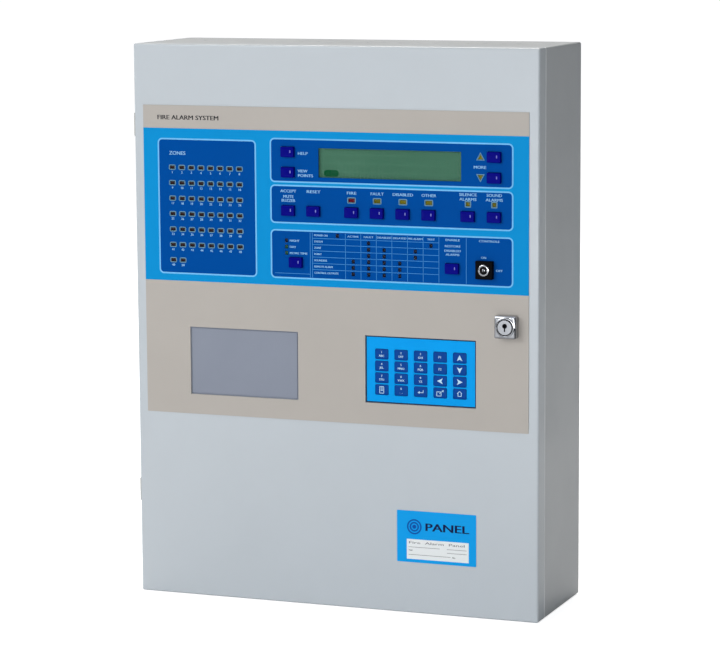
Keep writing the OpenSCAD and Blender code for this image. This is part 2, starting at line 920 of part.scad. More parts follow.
module amber_lamps() {
    color([0.55, 0.5, 0.1])
        raise(board_y, board_y - lamp_y) {
            for (n = [1:5])
                translate([ox(column_x(function_columns[n])), oz(lamp_row_z)])
                    square([n < 4 ? function_lamp_w : function_lamp_h, function_lamp_h],
                           center = true);
            translate([ox(arrow_x), oz(upper_z)])
                arrow(arrow_lamp_w, 1);
            translate([ox(arrow_x), oz(lower_z)])
                arrow(arrow_lamp_w, -1);
        }
}

module status_lamps() {
    color([0.03, 0.06, 0.08])
        raise(board_y, board_y - lamp_y)
            at_places(status_places)
                square([status_lamp_w, status_lamp_h], center = true);
}

// Flange behind the door's steel, with a step that stands in the opening
module stepped_plate(mid, w, h, step) {
    raise(flange_back_y, flange_t)
        difference() {
            translate(mid)
                square([w + 2 * flange_margin, h + 2 * flange_margin], center = true);
            at_places(corner_studs(mid, w, h))
                circle(r = stud_hole_r, $fn = 32);
        }
    raise(inner_y, step)
        translate(mid)
            square([w - 2 * moat_w, h - 2 * moat_w], center = true);
}

module blank_plate() {
    color([0.53, 0.55, 0.6])
        stepped_plate(blank_mid, blank_w, blank_h, inner_y - sheet_y);
}

module keypad_sheet() {
    color([0.02, 0.62, 0.95]) {
        difference() {
            stepped_plate(keypad_mid, keypad_w, keypad_h, inner_y - sheet_y);
            raise(flange_back_y + cut, flange_t + 4 * cut)
                for (k = key_places)
                    translate([k[1], k[2]])
                        rounded_rect(key_w + 2 * fit_gap, key_h + 2 * fit_gap, 1.5);
        }
        // posts that carry the keypad's board
        for (x = [-1, 1], z = [-1, 1])
            rod(keypad_mid[0] + x * (keypad_w / 2 - stud_seat_r),
                keypad_mid[1] + z * (keypad_h / 2 - stud_seat_r),
                keypad_board_y, keypad_board_y - flange_back_y + stud_root, post_r);
    }
}

module name_label() {
    color([0.1, 0.6, 0.92])
        raise(front_y, label_t)
            translate([label_offset_x, label_rise - cabinet_h / 2])
                rounded_rect(label_w, label_h, 0.8);
}

// ---- lock and key switch ----

// Square front, threaded body and hexagonal nut behind the door
module lock_body() {
    body_back = cam_y - lock_tail;
    color([0.8, 0.82, 0.85])
        difference() {
            union() {
                translate([lock_x, overlay_y, lock_z])
                    bent_block(lock_w, lock_proud, lock_w, lock_corner_r);
                rod(lock_x, lock_z, body_back, body_back - overlay_y + lock_skirt, lock_body_r, 64);
                rod(lock_x, lock_z, inner_y + nut_t, nut_t, lock_body_r + nut_w, 6);
            }
            rod(lock_x, lock_z, body_back + cut, cabinet_d, lock_barrel_r + running_gap, 64);
            rod(lock_x, lock_z, overlay_y - lock_proud + lock_recess_t, lock_recess_t + cut,
                lock_barrel_r + lock_recess_w, 64);
        }
}

module lock_barrel() {
    face_y = overlay_y - lock_proud;
    color([0.75, 0.76, 0.8])
        difference() {
            union() {
                rod(lock_x, lock_z, cam_y, cam_y - face_y, lock_barrel_r, 64);
                rod(lock_x, lock_z, face_y + barrel_sunk, barrel_collar_t,
                    lock_barrel_r + barrel_collar_w, 64);
                raise(cam_y + cam_t, cam_t + cam_square_l)
                    translate([lock_x, lock_z])
                        square(cam_square, center = true);
                rod(lock_x, lock_z, cam_y + cam_t + cam_nut_t, cam_nut_t, cam_nut_r, 48);
            }
            // keyhole: a round head with a slot below it
            rod(lock_x, lock_z + keyhole_rise, face_y + keyhole_depth, keyhole_depth + 4 * cut,
                keyhole_r, 32);
            raise(face_y + keyhole_depth, keyhole_depth + 4 * cut)
                translate([lock_x, lock_z - keyhole_slot_drop])
                    square(keyhole_slot, center = true);
        }
}

// The cam points up when the door is free, and turns to the right behind the lip
module lock_cam() {
    color([0.7, 0.7, 0.68])
        raise(cam_y + cam_t, cam_t)
            translate([lock_x, lock_z])
                difference() {
                    union() {
                        circle(r = cam_w / 2, $fn = 48);
                        translate([-cam_w / 2, 0])
                            square([cam_w, cam_reach]);
                    }
                    square(cam_square + 2 * running_gap, center = true);
                }
}

module key_switch_body() {
    color([0.03, 0.03, 0.04])
        translate([ox(switch_x), 0, oz(status_z)])
            difference() {
                union() {
                    translate([0, overlay_y, 0])
                        bent_block(switch_w, switch_proud, switch_w, 1);
                    raise(board_back_y + switch_tail, board_back_y + switch_tail - overlay_y + cut)
                        square(switch_w - 2 * switch_lap, center = true);
                }
                rod(0, 0, board_back_y + switch_tail - switch_floor_t, cabinet_d,
                    switch_barrel_r + running_gap, 64);
            }
}

module key_switch_barrel() {
    face_y = overlay_y - switch_proud - switch_face_rise;
    back = board_back_y + switch_tail - switch_barrel_stop;
    ring_y = face_y + switch_ring_depth;
    color([0.85, 0.86, 0.88])
        difference() {
            rod(ox(switch_x), oz(status_z), back, back - face_y, switch_barrel_r, 64);
            difference() {
                rod(ox(switch_x), oz(status_z), ring_y, switch_ring_depth + 2 * cut,
                    switch_barrel_r - switch_ring_w, 48);
                rod(ox(switch_x), oz(status_z), ring_y, switch_ring_depth - switch_plug_rise,
                    switch_plug_r, 32);
            }
            raise(face_y + switch_mark_depth, switch_mark_depth + 2 * cut)
                translate([ox(switch_x) + switch_barrel_r - switch_mark_in, oz(status_z)])
                    square(switch_mark, center = true);
        }
}

// ---- buttons and keys ----

module push_button(x, z) {
    back_y = board_y - button_travel - switch_floor;
    flange_front = inner_y + fit_gap;
    color([0.05, 0.05, 0.5])
        translate([x, 0, z]) {
            translate([0, flange_front + cap_flange_t, 0])
                bent_block(button_w, flange_front + cap_flange_t - overlay_y + button_proud,
                           button_h, 0.8);
            raise(flange_front + cap_flange_t, cap_flange_t)
                square([button_w + 2 * cap_flange, button_h + 2 * cap_flange], center = true);
            raise(back_y, back_y - flange_front)
                square(stem_w, center = true);
        }
}

module keypad_key(x, z) {
    flange_back = flange_back_y + fit_gap + cap_flange_t;
    color([0.02, 0.25, 0.55])
        translate([x, 0, z]) {
            raise(flange_back, flange_back - key_y)
                rounded_rect(key_w, key_h, 1.2);
            raise(flange_back, cap_flange_t)
                square([key_w + 2 * cap_flange, key_h + 2 * key_flange_z], center = true);
        }
}

back_box();
hinge_pin_halves();
main_board();
board_spacers();
board_screws();
terminal_blocks();
power_supply();
batteries();
ribbon_cable();
door_panel();
hinge_socket_halves();
front_overlay();
display_window();
display_module();
door_boards();
red_lamps();
amber_lamps();
status_lamps();
blank_plate();
keypad_sheet();
lock_body();
key_switch_body();
name_label();
lock_barrel();
lock_cam();
key_switch_barrel();
for (b = button_places)
    push_button(b[1], b[2]);
for (k = key_places)
    keypad_key(k[1], k[2]);
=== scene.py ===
"""A wall-mounted fire alarm control panel: a steel cabinet with a full-face door, a printed
front with its lamps, display, buttons, key switch and keypad, and the boards, supply and
batteries inside. Metres throughout, in the frame of the CAD model: +Z up, front to -Y."""
import math

import bmesh
import bpy
import numpy as np
from mathutils import Matrix, Vector


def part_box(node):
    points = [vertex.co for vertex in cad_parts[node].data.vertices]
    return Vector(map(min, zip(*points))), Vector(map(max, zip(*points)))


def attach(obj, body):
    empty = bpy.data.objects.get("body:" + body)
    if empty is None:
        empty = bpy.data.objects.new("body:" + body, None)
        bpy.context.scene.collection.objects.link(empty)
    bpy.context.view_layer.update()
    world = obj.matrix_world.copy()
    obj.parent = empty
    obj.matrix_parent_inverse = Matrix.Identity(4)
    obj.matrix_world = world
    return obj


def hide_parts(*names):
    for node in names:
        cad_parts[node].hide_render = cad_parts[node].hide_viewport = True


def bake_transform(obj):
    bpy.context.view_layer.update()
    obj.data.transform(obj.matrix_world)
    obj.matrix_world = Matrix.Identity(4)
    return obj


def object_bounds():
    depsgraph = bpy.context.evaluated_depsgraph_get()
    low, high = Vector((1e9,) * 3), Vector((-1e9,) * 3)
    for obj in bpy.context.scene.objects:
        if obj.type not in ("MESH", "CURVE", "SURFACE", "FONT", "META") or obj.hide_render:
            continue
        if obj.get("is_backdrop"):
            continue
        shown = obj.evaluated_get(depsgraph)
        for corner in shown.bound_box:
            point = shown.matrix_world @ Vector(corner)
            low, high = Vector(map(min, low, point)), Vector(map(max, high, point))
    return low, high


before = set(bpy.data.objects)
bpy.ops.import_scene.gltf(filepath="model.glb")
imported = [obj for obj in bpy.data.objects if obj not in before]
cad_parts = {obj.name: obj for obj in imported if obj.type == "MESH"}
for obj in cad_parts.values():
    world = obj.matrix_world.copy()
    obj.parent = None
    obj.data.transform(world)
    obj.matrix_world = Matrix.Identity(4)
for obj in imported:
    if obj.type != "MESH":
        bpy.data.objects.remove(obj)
cad_low, cad_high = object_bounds()
MM = 0.001

# ---- the camera ----------------------------------------------------------------------
# A long lens a little above the middle of the cabinet and to its right.

view_turn = math.radians(21.12)
view_rise = math.radians(8.19)
view_tilt = math.radians(-0.34)
view_distance = 3.168
view_aim = Vector((0.0026, -0.0725, -0.0089))

back = Vector((
    math.sin(view_turn) * math.cos(view_rise),
    -math.cos(view_turn) * math.cos(view_rise),
    math.sin(view_rise),
))
level = Vector((0, 0, 1)).cross(back).normalized()
right = math.cos(view_tilt) * level + math.sin(view_tilt) * back.cross(level)
camera = bpy.data.objects.new("camera", bpy.data.cameras.new("camera"))
camera.data.lens = 146.34
camera.data.sensor_width = 36
camera.data.clip_end = 200
camera.matrix_world = Matrix.Translation(view_aim + back * view_distance) @ Matrix(
    (right, back.cross(right), back)
).transposed().to_4x4()
bpy.context.scene.collection.objects.link(camera)
bpy.context.scene.camera = camera


# ---- the studio ----------------------------------------------------------------------
# A pale floor under the cabinet, a soft key light from the front left, a weaker one low in
# front, a narrow one on the right for the side, one behind for the top, and a pale surround.


def add(tree, kind, values=None, **settings):
    """One shader node. settings are its own properties, and values are its inputs by name or
    number: a plain value is set on the socket, and a socket is linked to it."""
    made = tree.nodes.new(kind)
    for key, value in settings.items():
        setattr(made, key, value)
    for key, value in (values or {}).items():
        if isinstance(value, bpy.types.NodeSocket):
            tree.links.new(value, made.inputs[key])
        else:
            made.inputs[key].default_value = value
    return made


def finish(name, colour, roughness, metallic=0.0, **plain):
    """A material with a Principled shader: returns the material, its node tree and the shader.
    plain are further sockets by name, with _ for a space."""
    material = bpy.data.materials.new(name)
    material.use_nodes = True
    tree = material.node_tree
    shader = tree.nodes["Principled BSDF"]
    shader.inputs["Base Color"].default_value = (*colour, 1)
    shader.inputs["Roughness"].default_value = roughness
    shader.inputs["Metallic"].default_value = metallic
    for key, value in plain.items():
        shader.inputs[key.replace("_", " ")].default_value = value
    return material, tree, shader


def math_node(tree, operation, *values, clamp=False):
    """One sum, product or the like of numbers or sockets."""
    made = add(tree, "ShaderNodeMath", dict(enumerate(values)), operation=operation, use_clamp=clamp)
    return made.outputs[0]


def mix_colour(tree, share, first, second):
    """first where share is 0, second where it is 1."""
    return add(tree, "ShaderNodeMix", {0: share, 6: first, 7: second}, data_type="RGBA").outputs[2]


def ramp(tree, value, low, high, start=0.0, end=1.0):
    """start where value is low or less, end where it is high or more, a straight line between."""
    return add(tree, "ShaderNodeMapRange", {0: value, 1: low, 2: high, 3: start, 4: end}).outputs[0]


def object_place(tree):
    """The place that patterns are drawn at, in the object's own metres."""
    return add(tree, "ShaderNodeTexCoord").outputs["Object"]


def axes_of(tree, place):
    """The X, Y and Z of a place."""
    return add(tree, "ShaderNodeSeparateXYZ", {0: place}).outputs


floor_radius, floor_sides = 60.0, 96
floor_drop = 0.0005
floor_glow = 0.78
floor_turn = np.linspace(0, 2 * np.pi, floor_sides, endpoint=False)
floor_rim = np.stack([np.cos(floor_turn) * floor_radius, np.sin(floor_turn) * floor_radius,
                      np.full(floor_sides, cad_low.z - floor_drop)], axis=1)
floor_mesh = bpy.data.meshes.new("floor")
floor_mesh.from_pydata(floor_rim.tolist(), [], [list(range(floor_sides))])
floor = bpy.data.objects.new("floor", floor_mesh)
bpy.context.scene.collection.objects.link(floor)
# The floor glows white to the camera only. Polished metal needs more contrast, so mirrors see it
# dark beyond these two edges, in X to the right and in Y to the front, each from start to end.
floor_pale, floor_dark = (0.80, 0.80, 0.80), (0.02, 0.02, 0.02)
dark_edges = ((0.25, 0.35), (-0.15, -0.25))
floor_paint, tree, shader = finish("floor_paint", floor_pale, 0.8, Specular_IOR_Level=0.1)
shader.inputs["Emission Strength"].default_value = floor_glow
ray = add(tree, "ShaderNodeLightPath").outputs
tree.links.new(mix_colour(tree, ray["Is Camera Ray"], (0, 0, 0, 1), (1, 1, 1, 1)),
               shader.inputs["Emission Color"])
mirrored, where = ray["Is Glossy Ray"], axes_of(tree, object_place(tree))
for axis, (starts, ends) in enumerate(dark_edges):
    mirrored = math_node(tree, "MULTIPLY", mirrored, ramp(tree, where[axis], starts, ends))
tree.links.new(mix_colour(tree, mirrored, (*floor_pale, 1), (*floor_dark, 1)), shader.inputs["Base Color"])
floor_mesh.materials.append(floor_paint)
floor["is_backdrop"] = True

# The surround is dim round the horizon and bright overhead. Mirrors also see a bright board at
# the front left and a dark card on the right.
world = bpy.data.worlds.new("surround")
world.use_nodes = True
tree = world.node_tree
looking = axes_of(tree, add(tree, "ShaderNodeTexCoord").outputs["Generated"])
height = ramp(tree, looking["Z"], 0.05, 0.8, 0.12, 0.42)
card = ramp(tree, looking["X"], 0.05, 0.35, 1.0, 0.02)
board = ramp(tree, looking["X"], -0.1, -0.3, 0.0, 5.0)
front = ramp(tree, looking["Y"], 0.0, -0.3)
cards = math_node(tree, "MULTIPLY_ADD", board, front, card)
mirrored = add(tree, "ShaderNodeLightPath").outputs["Is Glossy Ray"]
shade = add(tree, "ShaderNodeMix", {0: mirrored, 2: 1.0, 3: cards}).outputs[0]
glow = math_node(tree, "MULTIPLY", height, shade)
tree.links.new(glow, tree.nodes["Background"].inputs["Strength"])
tree.nodes["Background"].inputs["Color"].default_value = (0.95, 0.975, 1.0, 1)
bpy.context.scene.world = world
bpy.context.scene.view_settings.view_transform = "Standard"


def softbox(name, place, aim, width, height, power, colour):
    """A rectangular area light at place, turned to face aim."""
    light = bpy.data.lights.new(name, "AREA")
    light.shape = "RECTANGLE"
    light.size = width
    light.size_y = height
    light.energy = power
    light.color = colour
    made = bpy.data.objects.new(name, light)
    made.location = place
    made.rotation_euler = (Vector(place) - Vector(aim)).to_track_quat("Z", "Y").to_euler()
    bpy.context.scene.collection.objects.link(made)


softbox("key_light", (-1.9, -2.9, 1.5), (0, -0.1, 0), 1.8, 1.6, 49.5, (0.98, 0.99, 1.0))
softbox("low_light", (0.3, -2.6, -0.1), (0.05, -0.1, -0.2), 1.6, 0.4, 17, (0.95, 0.98, 1.0))
softbox("edge_light", (2.3, -0.95, -0.35), (0.2, -0.12, -0.02), 0.25, 1.3, 1.0, (0.97, 0.99, 1.0))
softbox("top_light", (-0.5, 1.2, 2.4), (0, -0.05, 0.3), 1.2, 1.0, 50, (1.0, 0.97, 0.93))


# ---- the back box --------------------------------------------------------------------
# Folded and welded sheet steel with a lip turned in round its mouth, powder coated pale grey.
# The coat has a fine orange-peel grain, holds a little dust on top and is rubbed at its edges; the outer
# bends at its mouth carry a painted highlight.

NUMBER, COLOUR, VECTOR = "NodeSocketFloat", "NodeSocketColor", "NodeSocketVector"


def new_group(name, inputs, outputs):
    """A shader node group. inputs are (label, socket kind, value) and outputs (label, kind)."""
    tree = bpy.data.node_groups.new(name, "ShaderNodeTree")
    for label, kind, value in inputs:
        tree.interface.new_socket(label, in_out="INPUT", socket_type=kind).default_value = value
    for label, kind in outputs:
        tree.interface.new_socket(label, in_out="OUTPUT", socket_type=kind)
    return tree, tree.nodes.new("NodeGroupInput").outputs, tree.nodes.new("NodeGroupOutput").inputs


def put(tree, group, values=None):
    """Places a node group in a material and returns its outputs."""
    return add(tree, "ShaderNodeGroup", values, node_tree=group).outputs


# Grain: noise at a size in real millimetres as a height, and a broad mottle that also varies
# the roughness.
grain, given, gives = new_group(
    "surface_grain",
    [("Size mm", NUMBER, 1.0), ("Roughness", NUMBER, 0.4), ("Spread", NUMBER, 0.1)],
    [("Height", NUMBER), ("Mottle", NUMBER), ("Roughness", NUMBER)],
)
fine = add(grain, "ShaderNodeTexNoise", {
    "Vector": object_place(grain), "Detail": 2.0,
    "Scale": math_node(grain, "DIVIDE", 1000.0, given["Size mm"])})
broad = add(grain, "ShaderNodeTexNoise", {
    "Vector": object_place(grain), "Scale": 9.0, "Detail": 5.0, "Roughness": 0.6})
mottle = ramp(grain, broad.outputs[0], 0.3, 0.7, -1.0, 1.0)
grain.links.new(fine.outputs[0], gives["Height"])
grain.links.new(mottle, gives["Mottle"])
grain.links.new(math_node(grain, "MULTIPLY_ADD", mottle, given["Spread"], given["Roughness"]),
                gives["Roughness"])

# Dust: settles in patches where the surface looks up, and pales the colour.
dust, given, gives = new_group(
    "settled_dust",
    [("Colour", COLOUR, (0.5, 0.5, 0.5, 1)), ("Amount", NUMBER, 0.3)],
    [("Colour", COLOUR), ("Mask", NUMBER)],
)
facing = axes_of(dust, add(dust, "ShaderNodeNewGeometry").outputs["Normal"])["Z"]
patches = add(dust, "ShaderNodeTexNoise", {"Vector": object_place(dust), "Scale": 60.0, "Detail": 6.0})
lying = math_node(dust, "MULTIPLY", ramp(dust, facing, 0.3, 0.95),
                  ramp(dust, patches.outputs[0], 0.35, 0.65, 0.35))
lying = math_node(dust, "MULTIPLY", lying, given["Amount"])
dust.links.new(mix_colour(dust, lying, given["Colour"], (0.62, 0.59, 0.54, 1)), gives["Colour"])
dust.links.new(lying, gives["Mask"])

# Edge rub: how near a point is to an edge of the box from Low to High, broken up by noise.
# Of the three distances to the box's planes, the middle one is the distance to the nearest edge.
rub, given, gives = new_group(
    "edge_rub",
    [("Low", VECTOR, (0, 0, 0)), ("High", VECTOR, (1, 1, 1)), ("Width mm", NUMBER, 1.0)],
    [("Mask", NUMBER)],
)
place = object_place(rub)
near_low = add(rub, "ShaderNodeVectorMath", {0: place, 1: given["Low"]}, operation="SUBTRACT")
near_high = add(rub, "ShaderNodeVectorMath", {0: given["High"], 1: place}, operation="SUBTRACT")
nearest = add(rub, "ShaderNodeVectorMath", {0: near_low.outputs[0], 1: near_high.outputs[0]},
              operation="MINIMUM")
gap = axes_of(rub, nearest.outputs[0])
smaller = math_node(rub, "MINIMUM", gap[0], gap[1])
larger = math_node(rub, "MAXIMUM", gap[0], gap[1])
middle = math_node(rub, "MAXIMUM", smaller, math_node(rub, "MINIMUM", larger, gap[2]))
reach = math_node(rub, "MULTIPLY", given["Width mm"], MM)
close = math_node(rub, "SUBTRACT", 1.0, math_node(rub, "DIVIDE", middle, reach), clamp=True)
breaks = add(rub, "ShaderNodeTexNoise", {"Vector": place, "Scale": 140.0, "Detail": 4.0})
rub.links.new(math_node(rub, "MULTIPLY", close, ramp(rub, breaks.outputs[0], 0.5, 0.62)), gives["Mask"])


def powder_coat(name, colour, low, high, roughness=0.36):
    """Pale powder coat: orange peel 1.6 mm across, a faint mottle, dust on top, and edges rubbed
    down to a paler primer. low and high are the corners of the box whose edges are rubbed."""
    material, tree, shader = finish(name, colour, roughness, Coat_Weight=0.12, Coat_Roughness=0.2)
    texture = put(tree, grain, {"Size mm": 1.6, "Roughness": roughness, "Spread": 0.05})
    shade = ramp(tree, texture["Mottle"], -1.0, 1.0, 0.0, 0.5)
    darker = tuple(0.93 * c for c in colour)
    base = mix_colour(tree, shade, (*colour, 1), (*darker, 1))
    worn = put(tree, rub, {"Low": low, "High": high, "Width mm": 1.4})["Mask"]
    base = mix_colour(tree, math_node(tree, "MULTIPLY", worn, 0.5), base, (0.75, 0.76, 0.76, 1))
    soiled = put(tree, dust, {"Colour": base, "Amount": 0.22})
    tree.links.new(soiled["Colour"], shader.inputs["Base Color"])
    tree.links.new(math_node(tree, "MULTIPLY_ADD", soiled["Mask"], 0.4, texture["Roughness"]),
                   shader.inputs["Roughness"])
    bump = add(tree, "ShaderNodeBump", {"Height": texture["Height"], "Strength": 0.12, "Distance": 0.0002})
    tree.links.new(bump.outputs[0], shader.inputs["Normal"])
    return material


def dress(node, material, crease=30):
    """Gives a CAD node its material. Its loose triangles are joined, parted again along edges
    sharper than crease degrees, and shaded so that flat faces stay flat beside the bends."""
    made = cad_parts[node]
    made.data.materials.clear()
    made.data.materials.append(material)
    made.data.polygons.foreach_set("use_smooth", np.ones(len(made.data.polygons), bool))
    joined = made.modifiers.new("joined", "WELD")
    joined.merge_threshold = 0.01 * MM
    parted = made.modifiers.new("parted", "EDGE_SPLIT")
    parted.split_angle = math.radians(crease)
    made.modifiers.new("flat_faces", "WEIGHTED_NORMAL").keep_sharp = True
    return made


box_low, box_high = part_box("back_box")
box_paint = powder_coat("cabinet_paint", (0.49, 0.515, 0.535), box_low, box_high)
# A painted highlight: the outer bends at the mouth are made paler, within 2.4 mm of the front and of the
# sides.
bend_highlight_reach = 2.4 * MM
tree = box_paint.node_tree
shader = tree.nodes["Principled BSDF"]
across, along, _ = axes_of(tree, object_place(tree))
forward = ramp(tree, along, box_low.y + bend_highlight_reach, box_low.y + bend_highlight_reach / 3)
outward = ramp(tree, math_node(tree, "ABSOLUTE", across), box_high.x - bend_highlight_reach,
               box_high.x - bend_highlight_reach / 2)
coat = shader.inputs["Base Color"].links[0].from_socket
paler = mix_colour(tree, math_node(tree, "MULTIPLY", forward, outward), coat, (0.86, 0.88, 0.90, 1))
tree.links.new(paler, shader.inputs["Base Color"])
dress("back_box", box_paint)


# ---- the door ------------------------------------------------------------------------
# A tray of the same steel, 20 mm deep, with welded studs behind and openings for the front's
# pieces. Its outer bends catch the light.

door_low, door_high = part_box("door_panel")
door_paint = powder_coat("door_paint", (0.545, 0.585, 0.620), door_low, door_high, 0.33)
dress("door_panel", door_paint)


# ---- the printed front ---------------------------------------------------------------
# A polyester film on the door's steel, screen printed: warm grey, a bright blue band, and four
# dark blue fields with pale outlines. Its face has a fine velvet grain.


def corners(node):
    """A CAD node's lowest and highest corners at rest, in millimetres."""
    low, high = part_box(node)
    return np.array(low) / MM, np.array(high) / MM


film_low, film_high = corners("front_overlay")
film_y = film_low[1]
band_top, band_bottom = 24.5, 189.0
zone_field = (17.5, 36.0, 130.5, 180.8)
display_field = (148.0, 33.0, 417.5, 78.5)
control_field = (148.0, 82.5, 417.5, 122.0)
status_field = (148.0, 130.0, 417.5, 180.8)
printed_fields = (zone_field, display_field, control_field, status_field)
field_corner = 4.5
film_grey = (0.500, 0.463, 0.425)
film_blue = (0.006, 0.290, 0.670)
field_blue = (0.000, 0.072, 0.338)
beyond_film = 20


def spot(across, down):
    """A place on the door, from millimetres right of the film's left edge and below its top."""
    return np.array([film_low[0] + across, film_high[2] - down])


# A rectangle with round corners, seen from the front: the mask is 1 inside it. A point is
# inside when it lies beyond the straight-sided core by less than the corner's radius.
field, given, gives = new_group(
    "printed_field",
    [("Centre", VECTOR, (0, 0, 0)), ("Core", VECTOR, (0, 1, 0)), ("Corner", NUMBER, 0.001)],
    [("Mask", NUMBER)],
)


def vector_node(tree, operation, *values):
    """One sum, product or the like of vectors or sockets."""
    return add(tree, "ShaderNodeVectorMath", dict(enumerate(values)), operation=operation).outputs[0]


offset = vector_node(field, "SUBTRACT", object_place(field), given["Centre"])
beyond = vector_node(field, "SUBTRACT", vector_node(field, "ABSOLUTE", offset), given["Core"])
beyond = vector_node(field, "MAXIMUM", beyond, (0, 0, 0))
reach = add(field, "ShaderNodeVectorMath", {0: beyond}, operation="LENGTH").outputs["Value"]
field.links.new(math_node(field, "LESS_THAN", reach, given["Corner"]), gives["Mask"])


def field_mask(tree, left, top, right_side, bottom, corner):
    """The mask of a printed field, from its edges on the film in millimetres."""
    low, high = spot(left, bottom) * MM, spot(right_side, top) * MM
    centre, core = (low + high) / 2, (high - low) / 2 - corner * MM
    return put(tree, field, {
        "Centre": (centre[0], 0, centre[1]), "Core": (core[0], 1, core[1]), "Corner": corner * MM,
    })["Mask"]


def grained(tree, shader, size, roughness, spread, height):
    """Gives a shader the grain's uneven roughness, and a bump of the given height in mm.
    Returns the mottle."""
    texture = put(tree, grain, {"Size mm": size, "Roughness": roughness, "Spread": spread})
    tree.links.new(texture["Roughness"], shader.inputs["Roughness"])
    bump = add(tree, "ShaderNodeBump", {
        "Height": texture["Height"], "Strength": 0.5, "Distance": height * MM})
    tree.links.new(bump.outputs[0], shader.inputs["Normal"])
    return texture["Mottle"]


def dim(colour, share):
    """A colour darkened to a share of itself."""
    return tuple(share * c for c in colour)


def grainy(name, colour, roughness, size, spread, height, metallic=0.0, **plain):
    """A finish of one colour, with the grain's bump and uneven roughness."""
    material, tree, shader = finish(name, colour, roughness, metallic, **plain)
    grained(tree, shader, size, roughness, spread, height)
    return material


def two_tone(name, first, second, roughness, size, spread, height, metallic=0.0, reach=1.0, **plain):
    """A grainy finish that drifts from the first colour to the second with the mottle. Returns the
    material, its node tree, the shader and the mixed colour, for patterns laid over it."""
    material, tree, shader = finish(name, first, roughness, metallic, **plain)
    mottle = grained(tree, shader, size, roughness, spread, height)
    mixed = mix_colour(tree, ramp(tree, mottle, -reach, reach), (*first, 1), (*second, 1))
    tree.links.new(mixed, shader.inputs["Base Color"])
    return material, tree, shader, mixed


overlay_film, tree, shader = finish("overlay_film", film_grey, 0.5, Specular_IOR_Level=0.015)
mottle = grained(tree, shader, 0.35, 0.42, 0.05, 0.01)
film_w = film_high[0] - film_low[0]
band = field_mask(tree, -beyond_film, band_top, film_w + beyond_film, band_bottom, 0.01)
printed = mix_colour(tree, band, (*film_grey, 1), (*film_blue, 1))
for edges in printed_fields:
    printed = mix_colour(tree, field_mask(tree, *edges, field_corner), printed, (*field_blue, 1))
fading = ramp(tree, mottle, -1.0, 1.0, 0.96, 1.0)
evenly = add(tree, "ShaderNodeCombineXYZ", dict.fromkeys(range(3), fading)).outputs[0]
tree.links.new(vector_node(tree, "MULTIPLY", printed, evenly), shader.inputs["Base Color"])
dress("front_overlay", overlay_film)


# ---- the outlines and lettering ------------------------------------------------------
# Opaque inks on the film, a few hundredths of a millimetre thick: pale blue outlines, white
# words and numbers, thin table lines, and the title in dark grey.

ink_t = 0.05
ink_sunk = 0.02
outline_w = 1.6
# How high the built-in typeface's capitals are at size 1.
font_cap = 0.729


def plain_outline(width, height, corner, steps=5):
    """Points round a rectangle with round corners, centred on 0: a quarter circle about each
    corner of the inner rectangle. With steps 1 and corner 0 it is the four corners."""
    quarter, step = np.divmod(np.arange(4 * steps), steps)
    turn = (quarter + step / max(steps - 1, 1)) * (math.pi / 2)
    side = np.array([(1, 1), (-1, 1), (-1, -1), (1, -1)])[quarter]
    core = np.array([width, height]) / 2 - corner
    return side * core + corner * np.stack([np.cos(turn), np.sin(turn)], axis=1)


def round_outline(radius, count=32):
    """Points round a circle: the cosine and sine of equal steps of a turn."""
    turn = np.linspace(0, 2 * np.pi, count, endpoint=False)
    return radius * np.stack([np.cos(turn), np.sin(turn)], axis=1)


def raised(places, rings, axis="y"):
    """Shells of stacked outlines, one at each place: rings are (outline, depth) pairs, and each
    outline is moved to the place. Seen along axis: an outline's two directions are X and Z for
    y, X and Y for z, Y and Z for x. The result is shells by rings by points by 3."""
    outlines = np.stack([outline for outline, depth in rings])
    depths = np.array([depth for outline, depth in rings], float)
    flat = np.asarray(places, float).reshape(-1, 1, 1, 2) + outlines
    deep = np.broadcast_to(depths[:, None], flat.shape[:-1])
    order = {"y": (0, 2, 1), "z": (0, 1, 2), "x": (2, 0, 1)}[axis]
    return np.stack([flat[..., 0], flat[..., 1], deep], axis=-1)[..., list(order)]


def block(places, width, height, corner, profile, steps=5, axis="y"):
    """Blocks with round corners, whose outline is pulled in by inset at each depth: profile is
    (inset, depth) pairs."""
    rings = []
    for inset, depth in profile:
        rounding = max(corner - inset, corner / 10)
        rings.append((plain_outline(width - 2 * inset, height - 2 * inset, rounding, steps), depth))
    return raised(places, rings, axis)


def rod(places, profile, count=32, axis="y"):
    """Round rods turned to a profile of (radius, depth) pairs."""
    return raised(places, [(round_outline(radius, count), depth) for radius, depth in profile], axis)


def flats(outlines, back_y, front_y):
    """Flat shapes of one thickness, from outlines in X and Z (shapes by points by 2)."""
    outlines = np.asarray(outlines, float)
    deep = [np.insert(outlines, 1, depth, axis=2) for depth in (back_y, front_y)]
    return np.stack(deep, axis=1)


def strokes(ends, width):
    """Outlines of straight strokes: a rectangle of the given width about the line between each
    pair of ends."""
    ends = np.asarray(ends, float)
    along = ends[:, 1] - ends[:, 0]
    along = along / np.linalg.norm(along, axis=1, keepdims=True)
    across = np.stack([-along[:, 1], along[:, 0]], axis=1) * width / 2
    return np.stack([ends[:, 0] - across, ends[:, 1] - across, ends[:, 1] + across,
                     ends[:, 0] + across], axis=1)


def shell_mesh(stack, looped=False):
    """A mesh from shells of rings of points. Quads join each ring to the next. The two end
    rings are closed by a face each or, when looped, the last ring is joined to the first."""
    shells, rings, around = stack.shape[:3]
    index = np.arange(shells * rings * around).reshape(shells, rings, around)
    lower = index if looped else index[:, :-1]
    upper = np.roll(index, -1, axis=1) if looped else index[:, 1:]
    quads = np.stack([lower, np.roll(lower, -1, 2), np.roll(upper, -1, 2), upper], axis=-1)
    faces = quads.reshape(-1, 4).tolist()
    if not looped:
        faces += index[:, 0, ::-1].tolist() + index[:, -1].tolist()
    mesh = bpy.data.meshes.new("shells")
    mesh.from_pydata((stack.reshape(-1, 3) * MM).tolist(), [], faces)
    return mesh


